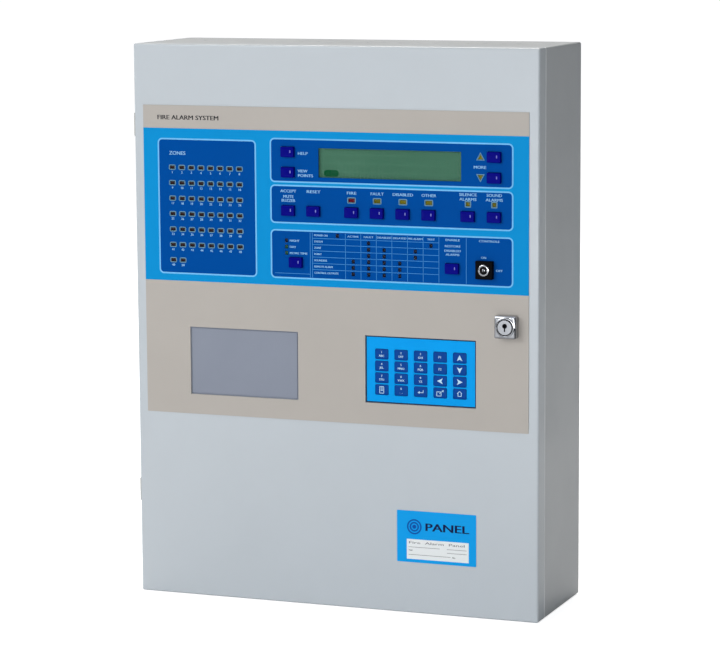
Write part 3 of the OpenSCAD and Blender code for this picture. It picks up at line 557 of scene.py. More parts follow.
def letter_mesh(words, plane_y, thick=ink_t, bold=0.18):
    """Words standing thick proud of the plane y. words are (text, place, cap height, side), with
    an optional width that the text is fitted to; side is LEFT, CENTER or RIGHT of the place. Each
    is set twice, the second time bold mm to the right and in lower relief, to widen its strokes."""
    joined = bmesh.new()
    for text, place, cap, side, *width in words:
        curve = bpy.data.curves.new("words", "FONT")
        curve.body, curve.align_x, curve.extrude, curve.resolution_u = text, side, 0.5, 3
        written = bpy.data.objects.new("words", curve)
        mesh = bpy.data.meshes.new_from_object(written)
        tall = cap / font_cap * MM
        spread = np.ptp([v.co.x for v in mesh.vertices])
        wide = width[0] / spread * MM if width else tall
        deep = (thick + ink_sunk) * MM
        middle_y = (plane_y + (ink_sunk - thick) / 2) * MM
        for shift, lower in ((-bold / 2, 0), (bold / 2, ink_t / 4)):
            moved = mesh.copy()
            moved.transform(Matrix((
                (wide, 0, 0, (place[0] + shift) * MM),
                (0, 0, -deep, middle_y + lower * MM),
                (0, tall, 0, (place[1] - cap / 2) * MM),
                (0, 0, 0, 1),
            )))
            joined.from_mesh(moved)
            bpy.data.meshes.remove(moved)
        bpy.data.meshes.remove(mesh)
        bpy.data.objects.remove(written)
        bpy.data.curves.remove(curve)
    mesh = bpy.data.meshes.new("words")
    joined.to_mesh(mesh)
    joined.free()
    return mesh


def piece(name, body, slot, *parts, sharp=35):
    """One object, from (mesh, material) parts: joined, turned outwards, smooth up to the sharp
    angle. It rides on the body, unless body is None."""
    joined = bmesh.new()
    mesh = bpy.data.meshes.new(name)
    for part, material in parts:
        if material.name not in mesh.materials:
            mesh.materials.append(material)
        chosen = np.full(len(part.polygons), mesh.materials.find(material.name))
        part.polygons.foreach_set("material_index", chosen)
        joined.from_mesh(part)
        bpy.data.meshes.remove(part)
    bmesh.ops.recalc_face_normals(joined, faces=joined.faces)
    joined.to_mesh(mesh)
    joined.free()
    mesh.polygons.foreach_set("use_smooth", np.ones(len(mesh.polygons), bool))
    mesh.set_sharp_from_angle(angle=math.radians(sharp))
    made = bpy.data.objects.new(name, mesh)
    bpy.context.scene.collection.objects.link(made)
    if body:
        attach(made, body)
    return made


def ink_band(width):
    """The profile of a printed band: insets and depths, from its outer edge inwards."""
    return [(0, film_y + ink_sunk), (0, film_y - ink_t), (width, film_y - ink_t),
            (width, film_y + ink_sunk)]


def ink(name, colour):
    """An opaque screen ink, faintly uneven."""
    return two_tone(name, colour, dim(colour, 0.88), 0.5, 0.5, 0.06, 0.01, Specular_IOR_Level=0.1)[0]


pale_ink = ink("pale_blue_ink", (0.190, 0.560, 0.950))
line_ink = ink("table_line_ink", (0.060, 0.300, 0.700))
white_ink = ink("white_ink", (0.330, 0.620, 0.900))
title_ink = ink("title_ink", (0.020, 0.020, 0.025))
ring_ink = ink("lamp_ring_ink", (0.150, 0.310, 0.420))

outlines = []
for left, top, right_side, bottom in printed_fields:
    middle = (spot(left, top) + spot(right_side, bottom)) / 2
    outlines.append((shell_mesh(block(
        [middle], right_side - left + outline_w, bottom - top + outline_w, field_corner + outline_w / 2,
        ink_band(outline_w), steps=9), looped=True), pale_ink))
piece("field_outlines", "door", "overlay_print", *outlines)

column_pitch = 28.7
column_first = 168.0


def column(number):
    """A button column's distance from the film's left edge."""
    return column_first + number * column_pitch


# The status table: a heading row, and six rows and six columns of lamps.
table_x, table_down = 241.2, 140.9
table_step_x, table_step_down = 17.4, 6.65
table_columns = ["ACTIVE", "FAULT", "DISABLED", "DELAYED", "PRE-ALARM", "TEST"]
table_rows = ["POWER ON", "SYSTEM", "ZONE", "POINT", "SOUNDERS", "REMOTE ALARM", "CONTROL OUTPUTS"]
table_left, table_edge, table_right = 195.0, 232.5, 337.0
enable_right = 367.0
modes_left, modes_right, modes_foot = 152, 192.5, 176
line_top, line_bottom = 131.5, 179.5
table_line_w = 0.55

upright = [modes_right, table_left] + [table_edge + n * table_step_x for n in range(7)] + [enable_right]
lines = [(spot(x, line_top), spot(x, line_bottom)) for x in upright]
lines += [(spot(table_left, down), spot(table_right, down))
          for down in table_down - table_step_down / 2 + table_step_down * np.arange(6)]
lines += [(spot(modes_left, modes_foot), spot(modes_right, modes_foot))]
piece("table_lines", "door", "overlay_print",
      (shell_mesh(flats(strokes(lines, table_line_w), film_y + ink_sunk, film_y - ink_t)), line_ink))

zone_first, zone_first_down = 33.5, 66.5
zone_step, zone_step_down = 11.2, 16.67
zone_columns, zone_count = 8, 50
number_drop = 5.3
zone_down, zone_across = np.divmod(np.arange(zone_count), zone_columns)
zone_places = np.stack(spot(zone_first + zone_across * zone_step,
                            zone_first_down + zone_down * zone_step_down), axis=1)
function_down = 96.2
upper_down, lower_down = 46.8, 68.3
status_down = 164.0

label_cap, small_cap, number_cap = 3.1, 2.3, 2.5
words = [
    ("ZONES", spot(30, 51), 4.0, "LEFT", 19),
    ("HELP", spot(179, upper_down + 1.2), label_cap, "LEFT", 11),
    ("VIEW", spot(179, 66.6), label_cap, "LEFT", 11),
    ("POINTS", spot(179, 71.4), label_cap, "LEFT", 17),
    ("MORE", spot(382, 57.5), label_cap, "CENTER", 13.5),
    ("ACCEPT", spot(column(0), 88.2), label_cap, "CENTER", 18),
    ("MUTE", spot(column(0), 94), label_cap, "CENTER", 11.5),
    ("BUZZER", spot(column(0), 98.2), label_cap, "CENTER", 15.5),
    ("RESET", spot(column(1), 88.2), label_cap, "CENTER", 15.5),
    ("FIRE", spot(column(2.5), 88.4), label_cap, "CENTER", 10.5),
    ("FAULT", spot(column(3.5), 88.4), label_cap, "CENTER", 14.5),
    ("DISABLED", spot(column(4.5), 88.4), label_cap, "CENTER", 22.5),
    ("OTHER", spot(column(5.5), 88.4), label_cap, "CENTER", 16),
    ("SILENCE", spot(column(7), 86.2), label_cap, "CENTER", 19),
    ("ALARMS", spot(column(7), 91), label_cap, "CENTER", 18.5),
    ("SOUND", spot(column(8), 86.2), label_cap, "CENTER", 16.5),
    ("ALARMS", spot(column(8), 91), label_cap, "CENTER", 18.5),
    ("NIGHT", spot(169, table_down), small_cap, "LEFT", 11),
    ("DAY", spot(169, table_down + table_step_down), small_cap, "LEFT", 7),
    ("MORE TIME", spot(169, table_down + 2 * table_step_down), small_cap, "LEFT", 20),
    ("ENABLE", spot(352, 134), small_cap, "CENTER", 15.5),
    ("RESTORE", spot(352, 140.5), small_cap, "CENTER", 17),
    ("DISABLED", spot(352, 145.3), small_cap, "CENTER", 18),
    ("ALARMS", spot(352, 149.3), small_cap, "CENTER", 15),
    ("CONTROLS", spot(392, 134), small_cap, "CENTER", 22),
    ("ON", spot(386, 151.3), small_cap, "CENTER", 5.5),
    ("OFF", spot(403, status_down + 0.3), small_cap, "CENTER", 7),
]
words += [(word, spot(197, table_down + (n - 1) * table_step_down), 2.1, "LEFT")
          for n, word in enumerate(table_rows)]
words += [(word, spot(table_x + n * table_step_x, table_down - table_step_down), 2.0, "CENTER",
           min(16, 2.1 * len(word))) for n, word in enumerate(table_columns)]
words += [(str(n + 1), place - (0, number_drop), number_cap, "CENTER")
          for n, place in enumerate(zone_places)]
piece("printed_words", "door", "overlay_print", (letter_mesh(words, film_y), white_ink))
title = [("FIRE ALARM SYSTEM", spot(16.5, 12.8), 4.9, "LEFT", 71)]
piece("printed_title", "door", "overlay_print", (letter_mesh(title, film_y, bold=0.45), title_ink))


# ---- the lamps -----------------------------------------------------------------------
# Light pipes moulded in tinted acrylic, clipped into the display board. Their domed ends stand
# in windows of the film, a quarter of a millimetre below its face, inside printed rings.

lamp_back = corners("red_lamps")[1][1]
lamp_front = film_y + 0.25


def lens(name, colour):
    """Tinted acrylic over an unlit lamp: a dark, smooth body colour, deeper in patches."""
    return two_tone(name, colour, dim(colour, 0.55), 0.16, 0.8, 0.05, 0.01, reach=0.6,
                    Specular_IOR_Level=0.12)[0]


def domed(places, width, height, corner=0.3):
    """A light pipe from the board to the film, its end a shallow dome."""
    return shell_mesh(block(places, width, height, corner, [
        (0, lamp_back), (0, lamp_front + 0.5), (0.25, lamp_front + 0.25), (0.8, lamp_front + 0.05),
        (1.3, lamp_front)], steps=3))


def ring_round(places, width, height, corner, band):
    """A printed band of ink round a window."""
    return shell_mesh(block(places, width, height, corner, ink_band(band), steps=4), looped=True)


zone_lens = lens("zone_lamp_acrylic", (0.030, 0.010, 0.010))
red_lens = lens("red_lamp_acrylic", (0.200, 0.001, 0.014))
amber_lens = lens("amber_lamp_acrylic", (0.200, 0.180, 0.010))
dark_lens = lens("dark_lamp_acrylic", (0.006, 0.008, 0.030))
green_lens = lens("green_lamp_acrylic", (0.010, 0.090, 0.045))

oblong_columns, square_columns = (3.5, 4.5, 5.5), (7, 8)
fire_place = [spot(column(2.5), function_down)]
oblong_places = [spot(column(n), function_down) for n in oblong_columns]
square_places = [spot(column(n), function_down) for n in square_columns]
arrow_across = 382.5
triangles = [(spot(arrow_across, upper_down), 1), (spot(arrow_across, lower_down), -1)]


def triangle_outline(width, up, grow):
    """A triangle 0.9 as high as wide, its sides moved out by grow: it is scaled about the centre
    of its inner circle, whose radius is twice the area over the perimeter."""
    high = 0.9 * width
    inner = width * high / (width + 2 * math.hypot(high, width / 2))
    points = np.array([(-width / 2, -inner), (width / 2, -inner), (0, high - inner)]) * (inner + grow) / inner
    return (points + (0, inner - high / 2)) * (1, up)


def triangle_shell(place, up, profile, looped=False):
    """A triangle of the arrow lamps' size carried along a profile of (grow, depth) pairs."""
    return shell_mesh(raised([place], [(triangle_outline(arrow_lamp_w, up, grow), depth)
                                       for grow, depth in profile]), looped)


arrow_lamp_w = 5.6
arrow_dome = [(0, lamp_back), (0, lamp_front + 0.4), (-0.3, lamp_front + 0.1), (-0.8, lamp_front)]
arrow_band = [(1.1 - inset, depth) for inset, depth in ink_band(0.85)]
arrow_lenses = [(triangle_shell(place, up, arrow_dome), amber_lens) for place, up in triangles]
arrow_rings = [(triangle_shell(place, up, arrow_band, looped=True), ring_ink) for place, up in triangles]
zone_lamp, oblong_lamp, square_lamp, dot_lamp = (5.4, 3.2), (7, 4), (4, 4), (3, 3.6, 0.8)

red_lamps = piece("red_lamp_pipes", "door", "lamp_red",
                  (domed(zone_places, *zone_lamp), zone_lens), (domed(fire_place, *oblong_lamp), red_lens))
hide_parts("red_lamps")
amber_lamps = piece("amber_lamp_pipes", "door", "lamp_amber",
                    (domed(oblong_places, *oblong_lamp), amber_lens),
                    (domed(square_places, *square_lamp), amber_lens), *arrow_lenses)
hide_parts("amber_lamps")

lit_rows = [(3, 4, 5), (0, 1, 2, 3, 4, 5), (1, 2, 3, 4, 5), (3, 4, 5), (1, 2), (0,)]
table_places = [spot(table_x + c * table_step_x, table_down + r * table_step_down)
                for c, rows in enumerate(lit_rows) for r in rows]
table_places += [spot(223.5, table_down - table_step_down)]
mode_places = [spot(165.5, table_down + n * table_step_down) for n in range(3)]
status_lamps = piece("status_lamp_pipes", "door", "lamp_dark",
                     (domed(table_places + mode_places[:1], *dot_lamp), dark_lens),
                     (domed(mode_places[1:], *dot_lamp), green_lens))
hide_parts("status_lamps")
piece("lamp_rings", "door", "overlay_print",
      (ring_round(zone_places, 7.9, 5.7, 1.7, 1.0), ring_ink),
      (ring_round(fire_place + oblong_places, 9.6, 6.6, 1.2, 1.05), ring_ink),
      (ring_round(square_places, 6.8, 6.8, 1.0, 1.15), ring_ink), *arrow_rings)


# ---- the display ---------------------------------------------------------------------
# A liquid crystal module of four lines by forty characters in a pressed steel bezel, behind a
# clear acrylic pane. Unlit, its glass is grey green and the empty character cells just show.

pane_low, pane_high = corners("display_window")
bezel_steel = grainy("bezel_steel", (0.03, 0.03, 0.033), 0.45, 0.6, 0.08, 0.02, metallic=0.2)
dress("display_module", bezel_steel)

cell_t = 0.3
cell_front = pane_high[1] + 0.05
cell_margin = 2.0
pane_wide, pane_tall = (pane_high - pane_low)[[0, 2]]
grid_rows, grid_columns = 4, 40
# A painted reflection: a dark green patch at the glass's lower left, from its corner's place on the film.
reflection_left, reflection_down, reflection_w, reflection_h = 207.5, 65.0, 17.0, 7.0
liquid, tree, shader, liquid_colour = two_tone(
    "display_glass", (0.080, 0.240, 0.145), (0.105, 0.285, 0.180), 0.24, 2.0, 0.05, 0.01,
    Specular_IOR_Level=0.1)
counted = add(tree, "ShaderNodeMapping", {
    "Vector": object_place(tree),
    "Location": (-pane_low[0] / pane_wide * grid_columns, 0, -pane_low[2] / pane_tall * grid_rows),
    "Scale": (grid_columns / (pane_wide * MM), 1, grid_rows / (pane_tall * MM))}).outputs[0]
within = axes_of(tree, vector_node(tree, "FRACTION", counted))
cells = math_node(tree, "MULTIPLY", math_node(tree, "COMPARE", within[0], 0.5, 0.36),
                  math_node(tree, "COMPARE", within[2], 0.5, 0.38))
liquid_colour = mix_colour(tree, math_node(tree, "MULTIPLY", cells, 0.22), liquid_colour,
                           (0.045, 0.150, 0.090, 1))
painted_reflection = field_mask(tree, reflection_left, reflection_down, reflection_left + reflection_w, reflection_down + reflection_h, reflection_h / 2)
liquid_colour = mix_colour(tree, painted_reflection, liquid_colour, (0.001, 0.120, 0.040, 1))
tree.links.new(liquid_colour, shader.inputs["Base Color"])
pane_middle = (pane_low + pane_high)[[0, 2]] / 2
piece("display_cell", "door", "display_glass", (shell_mesh(block(
    [pane_middle], pane_wide + cell_margin, pane_tall + cell_margin, 0.4,
    [(0, cell_front + cell_t), (0, cell_front)])), liquid))

clear_pane = grainy("clear_acrylic", (0.02, 0.03, 0.03), 0.05, 30.0, 0.02, 0.01, Alpha=0.10)
dress("display_window", clear_pane)


# ---- the push buttons ----------------------------------------------------------------
# Fourteen navy caps moulded in ABS with dished faces and a small raised bar at the right, its pale ink a
# painted highlight. Each has a flange behind the door's skin and a square stem that presses a switch on the
# display board.

button_plastic = grainy("button_plastic", (0.001, 0.001, 0.215), 0.36, 0.25, 0.06, 0.03,
                        Specular_IOR_Level=0.04)
painted_highlight_ink = ink("cap_highlight_paint", (0.210, 0.230, 0.620))
button_w, button_h, button_corner = 15.0, 11.0, 1.0
cap_flange, cap_flange_t = 1.5, 1.2
stem_w = 4.0
door_skin, flange_gap = 1.5, 0.3
flange_front = corners("door_panel")[0][1] + door_skin + flange_gap
flange_back = flange_front + cap_flange_t


def placed(node):
    """A CAD node's lowest and highest corners, and its middle as seen from the front."""
    low, high = corners(node)
    return low, high, (low + high)[[0, 2]] / 2


for node in sorted(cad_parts):
    if not node.startswith("button_"):
        continue
    low, high, middle = placed(node)
    face = low[1]
    cap = block([middle], button_w, button_h, button_corner, [
        (0, flange_front), (0, face + 0.8), (0.12, face + 0.4), (0.4, face + 0.12), (0.9, face),
        (1.7, face + 0.14), (2.8, face + 0.28), (4.2, face + 0.34)])
    flange = block([middle], button_w + 2 * cap_flange, button_h + 2 * cap_flange, 0.5, [
        (0, flange_back), (0, flange_front)], steps=2)
    stem = block([middle], stem_w, stem_w, 0.3, [(0, high[1]), (0, flange_back)], steps=2)
    # A small raised bar inked pale: a painted highlight at the same place on every cap.
    painted_highlight_bar = block([middle + (3.5, 0.6)], 1.2, 3.0, 0.5, [
        (0, face + 0.6), (0, face + 0.2), (0.15, face + 0.12)], steps=3)
    button = piece(node + "_cap", node, "button_navy", (shell_mesh(cap), button_plastic),
                   (shell_mesh(flange), button_plastic), (shell_mesh(stem), button_plastic),
                   (shell_mesh(painted_highlight_bar), painted_highlight_ink))
    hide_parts(node)


# ---- the key switch ------------------------------------------------------------------
# A square black moulded bezel round a chromed barrel, whose ring and key slot turn
# together between on and off.

black_plastic = grainy("black_moulding", (0.002, 0.002, 0.003), 0.4, 0.3, 0.08, 0.03,
                       Specular_IOR_Level=0.03)
dress("key_switch_body", black_plastic)


def plated(name, colour, roughness):
    """Plated metal: fine marks in the roughness, and a thin film that dulls it in patches; on the chrome the
    darker patches are also painted reflections.
    """
    return two_tone(name, colour, dim(colour, 0.80), roughness, 0.7, 0.06, 0.004, metallic=1.0)[0]


# The chrome's darker patches are painted reflections as well as a dulling film.
chrome = plated("polished_chrome", (0.46, 0.47, 0.50), 0.07)
# Near black: painted shade in the key slot, the keyhole, the switch's groove, the gap round the lock's barrel
# and the screw slots, and the dark joints between terminal ways.
shade_and_joint_dark = grainy("painted_shade_and_joints", (0.004, 0.004, 0.005), 0.5, 0.4, 0.1, 0.02, Specular_IOR_Level=0.05)

switch_low, switch_high, switch_middle = placed("key_switch_barrel")
switch_r = (switch_high[0] - switch_low[0]) / 2
switch_face = switch_low[1]
ring_in, plug_r, groove = switch_r - 1.85, 1.3, 1.6
switch_plug = rod([switch_middle], [
    (switch_r, switch_high[1]), (switch_r, switch_face + 0.5), (switch_r - 0.15, switch_face + 0.15),
    (switch_r - 0.5, switch_face), (ring_in + 0.15, switch_face + 0.05), (ring_in, switch_face + 0.5),
    (ring_in - 0.05, switch_face + groove), (plug_r + 0.6, switch_face + groove),
    (plug_r + 0.3, switch_face + 0.5), (plug_r, switch_face + 0.3)], 48)
# The key slot and a ring in the groove round the plug are near-black: painted shade in them.
switch_slot_shade = block([switch_middle], 1.0, 3.0, 0.1, [
    (0, switch_face + 0.6), (0, switch_face + 0.22)], steps=2)
switch_groove_shade = rod([switch_middle], [
    (ring_in, switch_face + groove + 0.05), (ring_in, switch_face + groove / 2),
    (plug_r + 0.35, switch_face + groove / 2), (plug_r + 0.35, switch_face + groove + 0.05)], 48)
switch_bridge = block([switch_middle + (ring_in - 0.05, 0)], 2.6, 1.7, 0.2, [
    (0, switch_face + groove + 0.1), (0, switch_face + 0.2), (0.2, switch_face + 0.02)], steps=3)
switch_barrel = piece("key_switch_plug", "switch_plug", "lock_chrome", (shell_mesh(switch_plug), chrome),
                      (shell_mesh(switch_slot_shade), shade_and_joint_dark),
                      (shell_mesh(switch_groove_shade, looped=True), shade_and_joint_dark),
                      (shell_mesh(switch_bridge), chrome))
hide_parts("key_switch_barrel")


# ---- the door lock -------------------------------------------------------------------
# A quarter-turn cam lock in chromed zinc: square front, round collar, threaded body and a
# hexagonal nut behind the door. The barrel turns with the plated steel cam.

dress("lock_body", chrome, 40)
lock_low, _, lock_middle = placed("lock_barrel")
dress("lock_barrel", chrome, 40)
cam_steel = plated("cam_steel", (0.50, 0.48, 0.42), 0.38)
dress("lock_cam", cam_steel)
collar_front = corners("lock_body")[0][1]
collar = rod([lock_middle], [
    (10.6, collar_front + 0.3), (10.6, collar_front - 0.25), (10.2, collar_front - 0.5),
    (9.4, collar_front - 0.5), (9.05, collar_front - 0.2), (9.05, collar_front + 0.3)], 64)
piece("lock_collar", "door", "lock_chrome", (shell_mesh(collar, looped=True), chrome))
keyhole = [lock_middle + (0, 1.6)]
# The keyhole's floor and a thin ring round its mouth are near-black: painted shade in the hole and round its
# mouth.
keyhole_floor_shade = rod(keyhole, [(1.96, lock_low[1] + 4), (1.96, lock_low[1] + 3)], 24)
keyhole_rim_shade = rod(keyhole, [(2.6, lock_low[1] + 0.1), (2.6, lock_low[1] - 0.02),
                            (1.99, lock_low[1] - 0.02), (1.99, lock_low[1] + 0.1)], 32)
piece("lock_keyway", "lock_plug", "lock_chrome", (shell_mesh(keyhole_floor_shade), shade_and_joint_dark),
      (shell_mesh(keyhole_rim_shade, looped=True), shade_and_joint_dark))
# A near-black washer behind the collar, round the barrel: painted shade in the gap between them.
washer = rod([lock_middle], [(8.75, collar_front + 1.45), (8.75, collar_front + 0.9),
                             (7.7, collar_front + 0.9), (7.7, collar_front + 1.45)], 64)
piece("lock_barrel_gap_shade", "door", "lock_chrome", (shell_mesh(washer, looped=True), shade_and_joint_dark))


# ---- the keypad ----------------------------------------------------------------------
# A bright blue panel stepped into an opening of the door, with twenty moulded keys. Their
# legends are printed on the caps: numbers with letters, arrows, and a few plain signs.

sheet_film, tree, shader, sheet_colour = two_tone(
    "keypad_film", (0.001, 0.335, 0.850), (0.002, 0.375, 0.920), 0.45, 0.4, 0.06, 0.015,
    Specular_IOR_Level=0.05)
# Painted shade: the sheet's own flange and the step's wall lie outside the printed blue and are coloured
# near-black, as shade in the moat round the step.
step_low, step_high = corners("keypad_sheet")
sheet_flange, step_wall = 8, 1.5
step = put(tree, field, {
    "Centre": tuple((step_low + step_high) / 2 * (1, 0, 1) * MM),
    "Core": tuple(((step_high - step_low) / 2 - sheet_flange - step_wall) * (1, 0, 1) * MM + (0, 1, 0)),
    "Corner": 0.01 * MM})["Mask"]
tree.links.new(mix_colour(tree, step, (0.030, 0.050, 0.100, 1), sheet_colour), shader.inputs["Base Color"])
dress("keypad_sheet", sheet_film)

key_plastic = grainy("key_plastic", (0.000, 0.058, 0.310), 0.4, 0.25, 0.06, 0.02, Specular_IOR_Level=0.08)
legend_ink = ink("legend_ink", (0.560, 0.800, 0.950))
sign_w = 0.65
legend_cap, digit_rise, letters_rise = 2.3, 2.3, -1.6
letters = {"1": "ABC", "2": "DEF", "3": "GHI", "4": "JKL", "5": "MNO", "6": "PQR", "7": "STU",
           "8": "VWX", "9": "YZ", "0": ".  ,"}
arrow_turns = {"up": 0, "left": 90, "down": 180, "right": 270}
arrow_shape = np.array([(0, 3.3), (3.1, -3.1), (0, -1.5), (-3.1, -3.1)])


def turned(points, degrees):
    """Points in X and Z turned anticlockwise, by the cosine and sine of the angle."""
    c, s = math.cos(math.radians(degrees)), math.sin(math.radians(degrees))
    return np.asarray(points, float) @ np.array([[c, s], [-s, c]])


def box_sides(left, bottom, right_side, top):
    """The four sides of a rectangle, as pairs of ends."""
    points = [(left, bottom), (right_side, bottom), (right_side, top), (left, top)]
    return [(points[n], points[(n + 1) % 4]) for n in range(4)]


signs = {
    "menu": box_sides(-2.3, -3.6, 2.3, 3.4) + [((-1.2, 2.0), (1.2, 2.0)), ((-1.2, 0.6), (1.2, 0.6)),
                                               ((-1.2, -0.8), (1.2, -0.8))],
    "enter": [((3.0, 2.0), (3.0, -0.6)), ((3.3, -0.6), (-1.2, -0.6))],
    "escape": box_sides(-3.6, -3.2, 1.2, 1.2) + [((-0.6, -0.6), (3.4, 2.6))],
    "home": [((-2.6, 0.4), (0, 2.9)), ((0, 2.9), (2.6, 0.4)), ((-1.8, 0.6), (-1.8, -2.4)),
             ((-1.8, -2.4), (1.8, -2.4)), ((1.8, -2.4), (1.8, 0.6))],
}
heads = {"enter": [(-3.2, -0.6), (-0.9, 0.9), (-0.9, -2.1)], "escape": [(4.2, 3.2), (1.9, 3.0), (3.6, 0.9)]}


def legend_meshes(sign, middle, face):
    """What is printed on a key's face: a number over letters, an arrow, or a sign in strokes with
    or without an arrow head."""
    inked = face + ink_sunk, face - ink_t
    if sign in letters:
        return [letter_mesh([(sign, middle + (0, digit_rise), legend_cap, "CENTER"),
                             (letters[sign], middle + (0, letters_rise), legend_cap, "CENTER")], face)]
    if sign in ("f1", "f2"):
        return [letter_mesh([(sign.upper(), middle, 2.6, "CENTER")], face)]
    if sign in arrow_turns:
        return [shell_mesh(flats([turned(arrow_shape, arrow_turns[sign]) + middle], *inked))]
    drawn = [shell_mesh(flats(strokes(np.array(signs[sign]) + middle, sign_w), *inked))]
    if sign in heads:
        drawn.append(shell_mesh(flats([np.array(heads[sign]) + middle], *inked)))
    return drawn


key_w, key_h, key_corner = 14.6, 10.8, 1.5
for node in sorted(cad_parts):
    if not node.startswith("key_") or node.startswith("key_switch"):
        continue
    low, high, middle = placed(node)
    face, back_y = low[1], high[1]
    crown = face + 0.12
    cap = block([middle], key_w, key_h, key_corner, [
        (0, back_y - cap_flange_t), (0, face + 0.45), (0.15, face + 0.2), (0.5, crown - 0.06),
        (1.6, crown - 0.1), (3.4, face)])
    flange = block([middle], high[0] - low[0], high[2] - low[2], 0.3, [
        (0, back_y), (0, back_y - cap_flange_t)], steps=2)
    legends = [(mesh, legend_ink) for mesh in legend_meshes(node.removeprefix("key_"), middle, face)]
    key = piece(node + "_cap", node, "key_blue", (shell_mesh(cap), key_plastic),
                (shell_mesh(flange), key_plastic), *legends)
    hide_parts(node)


# ---- the blank plate -----------------------------------------------------------------
# A grey moulded plate that closes the opening for a printer, with a fine spark-eroded texture.

plate_plastic = two_tone("plate_plastic", (0.245, 0.268, 0.330), (0.268, 0.292, 0.355), 0.55, 0.7, 0.05,
                         0.05, Specular_IOR_Level=0.25)[0]
dress("blank_plate", plate_plastic)


# ---- the name label ------------------------------------------------------------------
# A blue printed plastic label bonded to the door, with a white panel for the type and number.
# Its mark and words are plain ones: a round sounder sign and the kind of equipment.

label_low, label_high = corners("name_label")
label_face = label_low[1]


def on_label(across, down):
    """A place on the label, from its left and top edges."""
    return np.array([label_low[0] + across, label_high[2] - down])


label_film, tree, shader, label_colour = two_tone(
    "label_film", (0.003, 0.360, 0.880), (0.006, 0.350, 0.800), 0.38, 0.5, 0.05, 0.01,
    Specular_IOR_Level=0.08)
panel_low, panel_high, panel_corner = on_label(11, 52), on_label(80.3, 30.5), 0.4
white_panel = put(tree, field, {
    "Centre": tuple(np.insert((panel_low + panel_high) / 2, 1, 0) * MM),
    "Core": tuple(np.insert((panel_high - panel_low) / 2 - panel_corner, 1, 1 / MM) * MM),
    "Corner": panel_corner * MM})["Mask"]
tree.links.new(mix_colour(tree, white_panel, label_colour, (0.86, 0.88, 0.88, 1)),
               shader.inputs["Base Color"])
dress("name_label", label_film)

navy_ink = ink("navy_ink", (0.004, 0.006, 0.060))
royal_ink = ink("royal_ink", (0.002, 0.080, 0.400))
grey_ink = ink("grey_ink", (0.220, 0.220, 0.240))
sign_place = on_label(19.5, 17)
label_sunk, label_proud = label_face + ink_sunk, label_face - ink_t
sign_rings = [rod([sign_place], [(outer, label_sunk), (outer, label_proud), (inner, label_proud),
                                 (inner, label_sunk)], 48) for outer, inner in ((8.2, 6.6), (5.2, 3.6))]
sign_disc = rod([sign_place], [(2.2, label_sunk), (2.2, label_proud)], 32)
piece("label_sign", "door", "label_film",
      *[(shell_mesh(ring, looped=True), royal_ink) for ring in sign_rings],
      (shell_mesh(sign_disc), royal_ink))
ruled = [(on_label(13, down), on_label(end, down)) for down, end in ((39, 48), (47.2, 60))]
ruled += [(on_label(56, down), on_label(78, down)) for down in (39, 43)]
heading = letter_mesh([("PANEL", on_label(31.3, 16.3), 8.6, "LEFT", 48)], label_face, bold=0.9)
kind = letter_mesh([("Fire  Alarm  Panel", on_label(13, 34), 2.7, "LEFT", 62)], label_face)
blanks = letter_mesh([("Type", on_label(13, 42.2), 1.7, "LEFT"), ("No.", on_label(62, 47.4), 1.7, "LEFT")],
                     label_face)
rules = shell_mesh(flats(strokes(ruled, 0.45), label_sunk, label_proud))
piece("label_words", "door", "label_film", (heading, navy_ink), (kind, grey_ink), (blanks, grey_ink),
      (rules, grey_ink))


# ---- the hinges ----------------------------------------------------------------------
# Two lift-off hinges in zinc plated steel. A pin half on the box and a socket half on the
# door, each held by two flat rivets.

hinge_zinc = plated("zinc_plate", (0.52, 0.52, 0.50), 0.34)
dress("hinge_pin_halves", hinge_zinc)
dress("hinge_socket_halves", hinge_zinc)


def standing(face, *steps, sunk=0.05):
    """The profile of a part that stands forward of a face: (inset or radius, height) pairs, and a
    foot as wide as the first of them, sunk a little into the face."""
    return [(steps[0][0], face + sunk)] + [(across, face - high) for across, high in steps]


rivet_r, rivet_t = 2.6, 0.9
hinge_rise, leaf_shift, rivet_step, rivet_in = 200, 12.5, 7, 4
leaf_out = corners("back_box")[0][0] - 2.4
for node, body, toward in (("hinge_pin_halves", "cabinet", -1), ("hinge_socket_halves", "door", 1)):
    low, high = corners(node)
    rivet_y = high[1] - rivet_in if body == "cabinet" else low[1] + rivet_in
    places = [(rivet_y, side * hinge_rise + toward * leaf_shift + step)
              for side in (-1, 1) for step in (-rivet_step, rivet_step)]
    rivets = rod(places, standing(leaf_out, (rivet_r, 0.2), (rivet_r * 0.8, rivet_t * 0.7),
                                  (rivet_r * 0.4, rivet_t), sunk=0.3), 20, axis="x")
    piece(node.replace("halves", "rivets"), body, "hinge_steel", (shell_mesh(rivets), hinge_zinc))


# ---- the main board ------------------------------------------------------------------
# A glass-epoxy board under green solder mask, on brass spacers. It carries the processor and
# two more flat chips, five relays, smoothing capacitors, small parts in rows and a header.

board_low, board_high = corners("main_board")
terminal_low, terminal_high = corners("terminal_blocks")
board_thick = 1.6
header_w, header_l, header_high = 9.0, 41.0, 12.0
board_back = board_high[1]
board_face = board_back - board_thick
board_dark, board_pale = (0.010, 0.105, 0.040), (0.014, 0.135, 0.052)


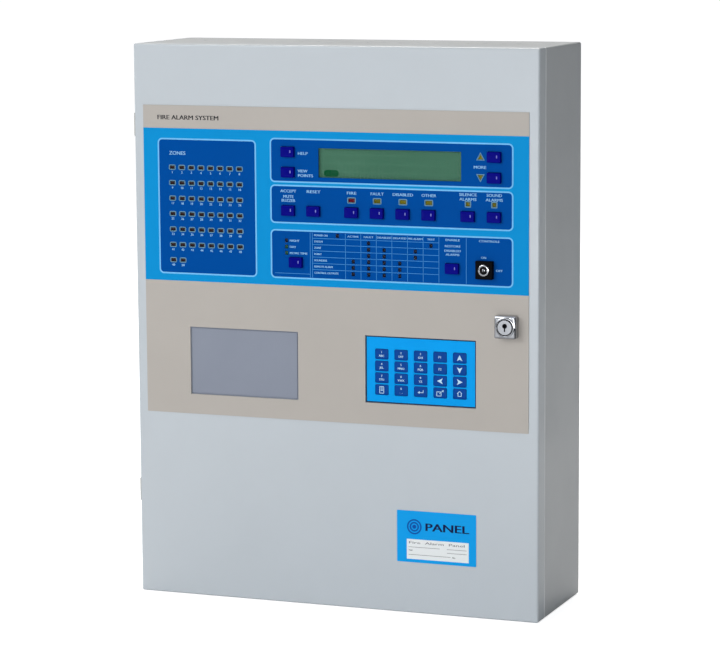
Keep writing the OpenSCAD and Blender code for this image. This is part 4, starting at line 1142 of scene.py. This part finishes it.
def solder_mask(name, track_step):
    """Green solder mask over copper tracks: the tracks are thin lines along X and Z at a pitch of
    track_step mm, kept only where broad cells of noise let them through."""
    material, tree, shader, base = two_tone(
        name, board_dark, board_pale, 0.28, 0.6, 0.05, 0.01, Coat_Weight=0.3, Coat_Roughness=0.15)
    place = object_place(tree)
    apart = axes_of(tree, place)
    tracks = []
    for axis, seed in ((0, 3.1), (2, 7.7)):
        step = math_node(tree, "FRACT", math_node(tree, "MULTIPLY", apart[axis], 1000 / track_step))
        line = math_node(tree, "COMPARE", step, 0.5, 0.2)
        stretch = add(tree, "ShaderNodeMapping", {
            "Vector": place, "Location": (seed, seed, seed),
            "Scale": (90, 1, 14) if axis == 0 else (14, 1, 90)}).outputs[0]
        runs = add(tree, "ShaderNodeTexNoise", {"Vector": stretch, "Scale": 1.0, "Detail": 0.0}).outputs[0]
        tracks.append(math_node(tree, "MULTIPLY", line, math_node(tree, "GREATER_THAN", runs, 0.52)))
    copper = math_node(tree, "MAXIMUM", *tracks)
    tree.links.new(mix_colour(tree, copper, base, (0.030, 0.230, 0.085, 1)), shader.inputs["Base Color"])
    return material


board_green = solder_mask("solder_mask", 1.6)
chip_black = grainy("chip_moulding", (0.012, 0.012, 0.013), 0.5, 0.25, 0.08, 0.02)
tinned = plated("tinned_metal", (0.62, 0.62, 0.60), 0.3)
relay_white = grainy("relay_case", (0.62, 0.60, 0.52), 0.4, 0.5, 0.06, 0.02)
sleeve_blue = grainy("capacitor_sleeve", (0.010, 0.016, 0.045), 0.3, 0.6, 0.05, 0.01, Coat_Weight=0.3)
silk_ink = ink("board_legend_ink", (0.62, 0.64, 0.60))


def legged_chip(places, width, height, tall, pins, foot):
    """Flat chips with gull-wing legs on all four sides: a chamfered body, and legs that are small
    blocks spaced evenly along each side."""
    body = block(places, width, height, 0.6, [
        (0.25, foot - 0.2), (0, foot - tall / 2), (0.3, foot - tall)], steps=2)
    across = (np.arange(pins) - (pins - 1) / 2) * (width - 2) / (pins - 1)
    beside = np.full(pins, height / 2 + 0.9)
    legs = np.concatenate([np.stack([across, beside], 1), np.stack([across, -beside], 1)])
    upright_legs = legs[:, ::-1]
    places = np.asarray(places)
    along_x = (places[:, None] + legs).reshape(-1, 2)
    along_z = (places[:, None] + upright_legs).reshape(-1, 2)
    leg_w, leg_l, leg_profile = 0.4, 2.2, standing(foot, (0, 0.6))
    return (body, block(along_x, leg_w, leg_l, 0, leg_profile, steps=1),
            block(along_z, leg_l, leg_w, 0, leg_profile, steps=1))


def small_parts(places, width, height, tall, foot):
    """Surface-mounted parts: a body between two tinned ends."""
    body = block(places, width, height, 0, standing(foot, (0, tall)), steps=1)
    ends = np.asarray(places)[:, None] + np.array([(-width / 2, 0), (width / 2, 0)])
    return body, block(ends.reshape(-1, 2), width * 0.3, height * 1.04, 0,
                       standing(foot, (0, tall * 1.04)), steps=1)


middle_z = (board_low[2] + board_high[2]) / 2
chip_pitch, relay_pitch, capacitor_pitch = 52, 26, 22
chip_places = np.array([(n * chip_pitch - 20, middle_z - 12) for n in range(3)])
relay_places = np.array([(n * relay_pitch - 4, board_high[2] - 52) for n in range(5)])
capacitor_places = np.array([(board_high[0] - 30, middle_z - n * capacitor_pitch) for n in range(3)])
header_place = np.array([board_low[0] + 26, middle_z - 55])


def part_rows(across, up, step, gap):
    """Places of parts in rows, from their X and Z: counted along the rows in steps, a place is
    left empty where the count divides by gap."""
    places = np.stack(np.meshgrid(across, up), -1).reshape(-1, 2)
    return places[(np.arange(len(places)) * step) % gap != 0]


part_grid = part_rows(np.arange(16) * 7.5 - 46, middle_z - 44 - np.arange(4) * 9, 7, 5)
tall_grid = part_rows(np.arange(12) * 9.5 - 150, middle_z + 18 + np.arange(3) * 12, 5, 7)
hole_in = 8
hole_places = np.array([(x * (board_high[0] - hole_in), middle_z + z * (board_high[2] - middle_z - hole_in))
                        for x in (-1, 0, 1) for z in (-1, 1)])

chip_w, chip_t, chip_pins = 24, 3, 22
part_size = (3.2, 1.6, 0.7)
can_r, can_high, can_edge = 2.4, 4.5, 0.3
relay_w, relay_h, relay_high, relay_edge = 20, 16, 16, 0.6
capacitor_r, capacitor_high = 7, 20
chip_body, chip_legs, chip_side_legs = legged_chip(chip_places, chip_w, chip_w, chip_t, chip_pins,
                                                   board_face)
part_body, part_ends = small_parts(part_grid, *part_size, board_face)
can_body = rod(tall_grid, standing(board_face, (can_r, can_high - can_edge), (can_r - can_edge, can_high)),
               16)
relay_body = block(relay_places, relay_w, relay_h, 1.0, standing(
    board_face, (0, relay_high - relay_edge), (relay_edge, relay_high)), steps=3)
# The sleeve is crimped in near the foot and turned over at the top.
capacitor = rod(capacitor_places, standing(
    board_face, (capacitor_r, 1.4), (capacitor_r - 0.4, 2.0), (capacitor_r, 2.6),
    (capacitor_r, capacitor_high - 0.6), (capacitor_r - 0.5, capacitor_high)), 32)
capacitor_top = rod(capacitor_places, [
    (5.7, board_face - 19.9), (5.7, board_face - 19.98), (1, board_face - 19.99)], 32)
slab = block([((board_low[0] + board_high[0]) / 2, middle_z)], board_high[0] - board_low[0],
             board_high[2] - board_low[2], 1.0, [(0, board_back), (0, board_face)], steps=3)
hole_pads = rod(hole_places, standing(board_face, (4.6, 0.04)), 24)


def mated_header(place, back_y, toward):
    """A boxed header with its cable socket pushed in: a wall, the socket's top, a clamp bar over
    the cable and two latches. toward is -1 where it stands forward of its board, 1 behind."""
    top = back_y + toward * header_high
    wall = block([place], header_w, header_l, 0.5, [
        (0, back_y), (0, top - toward * 3.5), (0.9, top - toward * 3.5)], steps=2)
    socket = block([place], header_w - 2, header_l - 3, 0.4, [
        (0, back_y + toward), (0, top - toward * 0.4), (0.4, top)], steps=2)
    bar = block([place], header_w - 4, header_l - 1.5, 0.4, [
        (0, top - toward * 2), (0, top - toward * 0.25), (0.3, top)], steps=2)
    ends = [np.asarray(place) + (0, side * (header_l / 2 - 1)) for side in (-1, 1)]
    latches = block(ends, 4.5, 1.9, 0.2, [
        (0, back_y), (0, top - toward * 1.2), (0.4, top - toward * 0.6)], steps=2)
    return [(shell_mesh(shape), chip_black) for shape in (wall, socket, bar, latches)]


board_words = [(f"R{n + 1}", place + (0, 10.5), 1.8, "CENTER") for n, place in enumerate(relay_places)]
board_words += [(f"U{n + 1}", place + (0, 15), 2.2, "CENTER") for n, place in enumerate(chip_places)]
board_words += [(f"C{n + 1}", place + (-10.5, 0), 2.0, "CENTER")
                for n, place in enumerate(capacitor_places)]
main_board = piece(
    "main_circuit_board", "cabinet", "circuit_board",
    *[(shell_mesh(shape), material) for shape, material in (
        (slab, board_green), (chip_body, chip_black), (chip_legs, tinned), (chip_side_legs, tinned),
        (part_body, chip_black), (part_ends, tinned), (can_body, tinned), (relay_body, relay_white),
        (capacitor, sleeve_blue), (capacitor_top, tinned), (hole_pads, tinned))],
    *mated_header(header_place, board_face, -1),
    (letter_mesh(board_words, board_face, 0.04), silk_ink))
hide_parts("main_board")

brass = plated("brass", (0.55, 0.38, 0.14), 0.3)
dress("board_spacers", brass)
screw_zinc = plated("screw_zinc", (0.60, 0.60, 0.58), 0.28)
dress("board_screws", screw_zinc)


# ---- the terminal blocks -------------------------------------------------------------
# Two rows of rising-clamp terminals in green nylon, for the field wiring: each way has a wire
# funnel above and a slotted plated screw in front.

terminal_green = grainy("terminal_nylon", (0.015, 0.170, 0.060), 0.42, 0.5, 0.06, 0.03)
dress("terminal_blocks", terminal_green)
terminal_pitch, terminal_ways, strip_start = 5.08, 24, 8
terminal_face = terminal_low[1]
terminal_z = (terminal_low[2] + terminal_high[2]) / 2
ways_x = (np.arange(terminal_ways) + 0.5) * terminal_pitch
terminal_x = np.concatenate([-strip_start - ways_x, strip_start + ways_x])
screw_places = np.stack([terminal_x, np.full(len(terminal_x), terminal_z - 1.5)], axis=1)
seam_x = strip_start + np.arange(1, terminal_ways) * terminal_pitch
seam_lines = [((x, terminal_low[2] + 0.4), (x, terminal_high[2] - 0.4))
              for x in np.concatenate([-seam_x, seam_x])]
# The slots stand at odd angles, as screws do after use. Each is a near-black stroke on the head: painted
# shade in the slot.
slot_turns = [17 * (n % 7) - 40 for n in range(len(screw_places))]
slot_shade_ends = [(place + turned((-1.3, 0), turn), place + turned((1.3, 0), turn))
             for place, turn in zip(screw_places, slot_turns)]
piece("terminal_screws", "cabinet", "screw_steel",
      (shell_mesh(rod(screw_places, standing(terminal_face, (1.75, 0.25), (1.5, 0.4), sunk=0.3), 14)),
       screw_zinc),
      (shell_mesh(flats(strokes(slot_shade_ends, 0.5), terminal_face, terminal_face - 0.43)), shade_and_joint_dark),
      (shell_mesh(flats(strokes(seam_lines, 0.35), terminal_face + 0.2, terminal_face - 0.05)), shade_and_joint_dark))


# ---- the power supply ----------------------------------------------------------------
# A closed case in galvanised steel with slotted vents, a rating label's blank plate, cover
# screws and a barrier strip along its foot for the mains and the batteries.

galvanised, tree, shader = finish("galvanised_steel", (0.48, 0.50, 0.51), 0.42, 0.85)
spangle = add(tree, "ShaderNodeTexVoronoi", {"Vector": object_place(tree), "Scale": 160.0})
grained(tree, shader, 1.5, 0.42, 0.08, 0.02)
patch = add(tree, "ShaderNodeSeparateColor", {0: spangle.outputs["Color"]}).outputs[0]
tree.links.new(mix_colour(tree, patch, (0.40, 0.42, 0.43, 1), (0.56, 0.58, 0.59, 1)),
               shader.inputs["Base Color"])
dress("power_supply", galvanised)
supply_low, supply_high = corners("power_supply")
strip_front = supply_low[1]
strip_z = supply_low[2] + 12
case_front = supply_high[1] - 42
supply_x, supply_z = (supply_low + supply_high)[[0, 2]] / 2
supply_ways, supply_pitch = 10, 10.5


def along_strip(count):
    """Places on the barrier strip's middle line, a pitch apart."""
    across = supply_x + (np.arange(count) - (count - 1) / 2) * supply_pitch
    return np.stack([across, np.full(count, strip_z)], axis=1)


cover_screws = [(supply_x + x * 69, supply_z + z * 44) for x in (-1, 1) for z in (-1, 1)]
strip = block([(supply_x, strip_z)], 112, 13, 0.8, [
    (0, case_front + 0.3), (0, strip_front + 1.6), (0.4, strip_front + 1.2)], steps=2)
strip_walls = block(along_strip(supply_ways + 1), 1.4, 12.6, 0.1, [
    (0, strip_front + 1.8), (0, strip_front + 0.05)], steps=1)
strip_screws = rod(along_strip(supply_ways), [
    (3.2, strip_front + 1.4), (3.2, strip_front + 0.6), (2.7, strip_front + 0.3)], 20)
cover_heads = rod(cover_screws, standing(case_front, (3.4, 0.7), (2.6, 1.5), (1.2, 1.7), sunk=0.2), 20)
supply_plate = block([(supply_x, supply_high[2] - 13)], 74, 16, 0.8,
                     standing(case_front, (0, 0.2), sunk=0.1), steps=3)
piece("supply_fittings", "cabinet", "supply_steel", *[(shell_mesh(shape), material) for shape, material in (
    (strip, chip_black), (strip_walls, chip_black), (strip_screws, screw_zinc), (cover_heads, screw_zinc),
    (supply_plate, relay_white))])


# ---- the batteries -------------------------------------------------------------------
# Two sealed lead-acid blocks in dark grey polypropylene, each with a seam below its lid, a valve
# cover, a rating plate and two lead-tin tabs.

battery_low, battery_high = corners("batteries")
battery_colour = (0.045, 0.048, 0.055)
battery_grey, tree, shader = finish("battery_case", battery_colour, 0.5)
grained(tree, shader, 0.9, 0.5, 0.08, 0.04)
dusty = put(tree, dust, {"Colour": (*battery_colour, 1), "Amount": 0.5})["Colour"]
tree.links.new(dusty, shader.inputs["Base Color"])
battery_w, battery_d, battery_h = 151.0, 65.0, 94.0
battery_x = battery_high[0] - battery_w / 2
battery_y = battery_low[1] + battery_d / 2
battery_foot = battery_low[2]
lid_seam = battery_foot + battery_h - 16
battery_top = battery_foot + battery_h
both = np.array([(-battery_x, battery_y), (battery_x, battery_y)])
case_shape = block(both, battery_w, battery_d, 3, [
    (0.8, battery_foot), (0, battery_foot + 0.8), (0, lid_seam - 0.6), (0.7, lid_seam), (0, lid_seam + 0.6),
    (0, battery_top - 1.2), (1.0, battery_top)], axis="z")
panel_shape = block(both, battery_w - 44, 22, 2, [
    (0, battery_top - 0.3), (0, battery_top + 1.0), (0.5, battery_top + 1.5)], axis="z")
tab_deep, tab_in, tab_t = 14, 10, 0.8
tab_y = battery_high[1] - tab_deep + tab_t / 2
tab_places = np.array([(centre[0] + side * (battery_w / 2 - tab_in), tab_y)
                       for centre in both for side in (-1, 1)])
tabs = block(tab_places, 6.4, tab_t, 0, [
    (0, battery_top - 0.5), (0, battery_top + 6.4), (0.3, battery_top + 7)], steps=1, axis="z")
tab_wells = block(tab_places, 15, 12, 1.5, [
    (0, battery_top - 0.4), (0, battery_top + 0.9), (1.2, battery_top + 0.9), (1.2, battery_top - 0.2)],
    steps=3, axis="z")
red_mark = grainy("terminal_red", (0.45, 0.012, 0.012), 0.4, 0.5, 0.05, 0.02)
rating_plate = block([(x, battery_foot + 38) for x in both[:, 0]], 96, 34, 1.5, [
    (0, battery_low[1] + 0.3), (0, battery_low[1] + 0.02)], steps=3)
batteries = piece(
    "standby_batteries", "cabinet", "battery_case", (shell_mesh(case_shape), battery_grey),
    (shell_mesh(panel_shape), battery_grey), (shell_mesh(tab_wells[1::2], looped=True), red_mark),
    (shell_mesh(tab_wells[0::2], looped=True), battery_grey), (shell_mesh(tabs), tinned),
    (shell_mesh(rating_plate), relay_white),
    (letter_mesh([("12V 12Ah", (x, battery_foot + 43), 6, "CENTER") for x in both[:, 0]],
                 battery_low[1] + 0.02, 0.01), navy_ink))
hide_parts("batteries")


# ---- the boards on the door ----------------------------------------------------------
# The display board and the keypad board, held by nuts on the door's studs. Their fronts carry
# the switches and lamps, their backs the soldered pins, four driver chips and a boxed header.

display_front = lamp_back
display_back = display_front + board_thick
switch_deep = 6.6
door_board_mix, tree, shader, base = two_tone(
    "door_board_finish", board_dark, board_pale, 0.35, 0.6, 0.05, 0.01, Coat_Weight=0.2)
depth_at = axes_of(tree, object_place(tree))[1]
behind = math_node(tree, "GREATER_THAN", depth_at, (display_back + 0.1) * MM)
switches = math_node(tree, "COMPARE", depth_at, (display_front - switch_deep / 2) * MM,
                     (switch_deep / 2 - 0.05) * MM)
moulded = math_node(tree, "MAXIMUM", behind, switches)
tree.links.new(mix_colour(tree, moulded, base, (0.012, 0.012, 0.013, 1)), shader.inputs["Base Color"])
dress("door_boards", door_board_mix)

lamp_places = np.array([*zone_places, *table_places, *mode_places, *oblong_places, *square_places,
                        *fire_place])
button_places = np.array([placed(node)[2] for node in sorted(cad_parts) if node.startswith("button_")])
joint_steps = np.array([(-1.27, 0), (1.27, 0)])
corner_steps = np.array([(-5, -3), (5, -3), (-5, 3), (5, 3)])
solder = np.concatenate([(lamp_places[:, None] + joint_steps).reshape(-1, 2),
                         (button_places[:, None] + corner_steps).reshape(-1, 2)])
display_low, display_high = corners("door_boards")
back_chips = np.array([(-128 + 37 * n, 165) for n in range(3)] + [(60, 88)])
back_parts = part_rows(np.arange(22) * 9 - 92, (118, 124.5, 131), 7, 6)


def behind_board(stack, plane_front, plane_back):
    """The same shells on the other face of a board: depths turned about its middle plane."""
    turned_round = stack.copy()
    turned_round[..., 1] = plane_front + plane_back - stack[..., 1]
    return turned_round


wide_chips = block(back_chips, 18, 11, 0.4, [(0.2, display_front - 0.2), (0, display_front - 1.2),
                                             (0.25, display_front - 2.4)], steps=2)
leg_x = (np.arange(14) - 6.5) * 1.27
leg_steps = np.stack([np.tile(leg_x, 2), np.repeat((-6.3, 6.3), 14)], axis=1)
chip_feet = block((back_chips[:, None] + leg_steps).reshape(-1, 2), 0.5, 2.2, 0,
                  standing(display_front, (0, 0.5)), steps=1)
part_body, part_ends = small_parts(back_parts, *part_size, display_front)
dots = rod(solder, [
    (0.95, display_front + 0.05), (0.75, display_front - 0.3), (0.35, display_front - 0.75)], 10)
cable_header = np.array([display_low[0] + 54, header_place[1]])
stud_in = 5
stud_x = (display_low[0] + stud_in, spot(140, 0)[0], display_high[0] - stud_in)
stud_z = (spot(0, 31 + stud_in)[1], spot(0, 186 - stud_in)[1])
stud_places = np.array([(x, z) for x in stud_x for z in stud_z])


def plate_studs(node):
    """The four studs of a plate, in from the corners of its flange."""
    low, high, middle = placed(node)
    half = (high - low)[[0, 2]] / 2 - plate_stud_in
    return [middle + half * (x, z) for x in (-1, 1) for z in (-1, 1)]


plate_stud_in = 4
nut_profile = [(2.9, 0), (3.15, 0.3), (3.15, 2.1), (2.9, 2.4)]
washer_profile = [(3.5, 0), (3.5, 0.5)]


def nuts(places, seat):
    """M3 nuts on washers, standing behind the plane y = seat."""
    places = np.asarray(places)
    washer = rod(places, [(radius, seat + rise) for radius, rise in washer_profile], 24)
    nut = rod(places, [(radius, seat + 0.5 + rise) for radius, rise in nut_profile], 6)
    return [(shell_mesh(washer), screw_zinc), (shell_mesh(nut), screw_zinc)]


plate_seat = corners("blank_plate")[1][1]
piece("door_board_parts", "door", "circuit_board",
      *[(shell_mesh(behind_board(stack, display_front, display_back)), material) for stack, material in (
          (wide_chips, chip_black), (chip_feet, tinned), (part_body, chip_black), (part_ends, tinned),
          (dots, tinned))])
piece("stud_nuts", "door", "screw_steel", *nuts(stud_places, display_back),
      *nuts(plate_studs("blank_plate") + plate_studs("keypad_sheet"), plate_seat))


# ---- the ribbon cable ----------------------------------------------------------------
# A flat cable of twenty-six PVC covered wires moulded side by side, the first marked red. It
# leaves the main board's header, runs forward inside the hinge side and turns to the door.

cable_low, cable_high = corners("ribbon_cable")
cable_t = 1.2
cable_bend = 9.0 - cable_t / 2
cable_ways = 26
cable_back = cable_high[1] - cable_t / 2
cable_front = cable_low[1] + cable_t / 2
cable_side = cable_low[0] + cable_t / 2


def bend(centre, start, steps=10):
    """A quarter circle of the cable's bend about a centre, anticlockwise seen from above."""
    turn = np.radians(np.linspace(start, start + 90, steps))
    return centre + cable_bend * np.stack([np.cos(turn), np.sin(turn)], axis=1)


door_end = np.array([[cable_header[0] - header_w / 2 + 1, cable_front]])
board_end = np.array([[header_place[0] - header_w / 2 + 1, cable_back]])
side_run = np.stack([np.full(24, cable_side),
                     np.linspace(cable_back - cable_bend, cable_front + cable_bend, 26)[1:-1]], axis=1)
route = np.concatenate([
    board_end,
    bend((cable_side + cable_bend, cable_back - cable_bend), 90),
    side_run,
    bend((cable_side + cable_bend, cable_front + cable_bend), 180),
    door_end,
])
run = np.gradient(route, axis=0)
run /= np.linalg.norm(run, axis=1, keepdims=True)
sideways = np.stack([run[:, 1], -run[:, 0]], axis=1)
# Across the cable: each wire is a round ridge on both faces, so the half thickness is the
# cosine of the place within its own pitch.
ridge_steps = 6
pitch = (cable_high[2] - cable_low[2]) / cable_ways
across_at = np.linspace(0, cable_ways, cable_ways * ridge_steps + 1)
half_thick = cable_t / 2 * (0.35 + 0.65 * np.sqrt(np.clip(1 - (2 * (across_at % 1) - 1) ** 2, 0, 1)))
heights = cable_low[2] + across_at * pitch
section_out = np.concatenate([half_thick, -half_thick[::-1]])
section_z = np.concatenate([heights, heights[::-1]])
cable_shell = np.empty((1, len(route), len(section_z), 3))
cable_shell[0, :, :, :2] = route[:, None] + sideways[:, None] * section_out[None, :, None]
cable_shell[0, :, :, 2] = section_z
cable_pvc, tree, shader, cable_colour = two_tone(
    "cable_pvc", (0.28, 0.28, 0.30), (0.33, 0.33, 0.35), 0.45, 1.2, 0.05, 0.01)
height_at = axes_of(tree, object_place(tree))[2]
marked = math_node(tree, "GREATER_THAN", height_at, (cable_high[2] - pitch) * MM)
tree.links.new(mix_colour(tree, marked, cable_colour, (0.45, 0.02, 0.02, 1)), shader.inputs["Base Color"])
cable = piece("board_ribbon_cable", None, "cable_grey", (shell_mesh(cable_shell), cable_pvc), sharp=80)
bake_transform(cable)
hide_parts("ribbon_cable")


# ---- both boxes ----------------------------------------------------------------------
# The finished model's box, beside the CAD model's that was found at the start.

low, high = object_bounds()
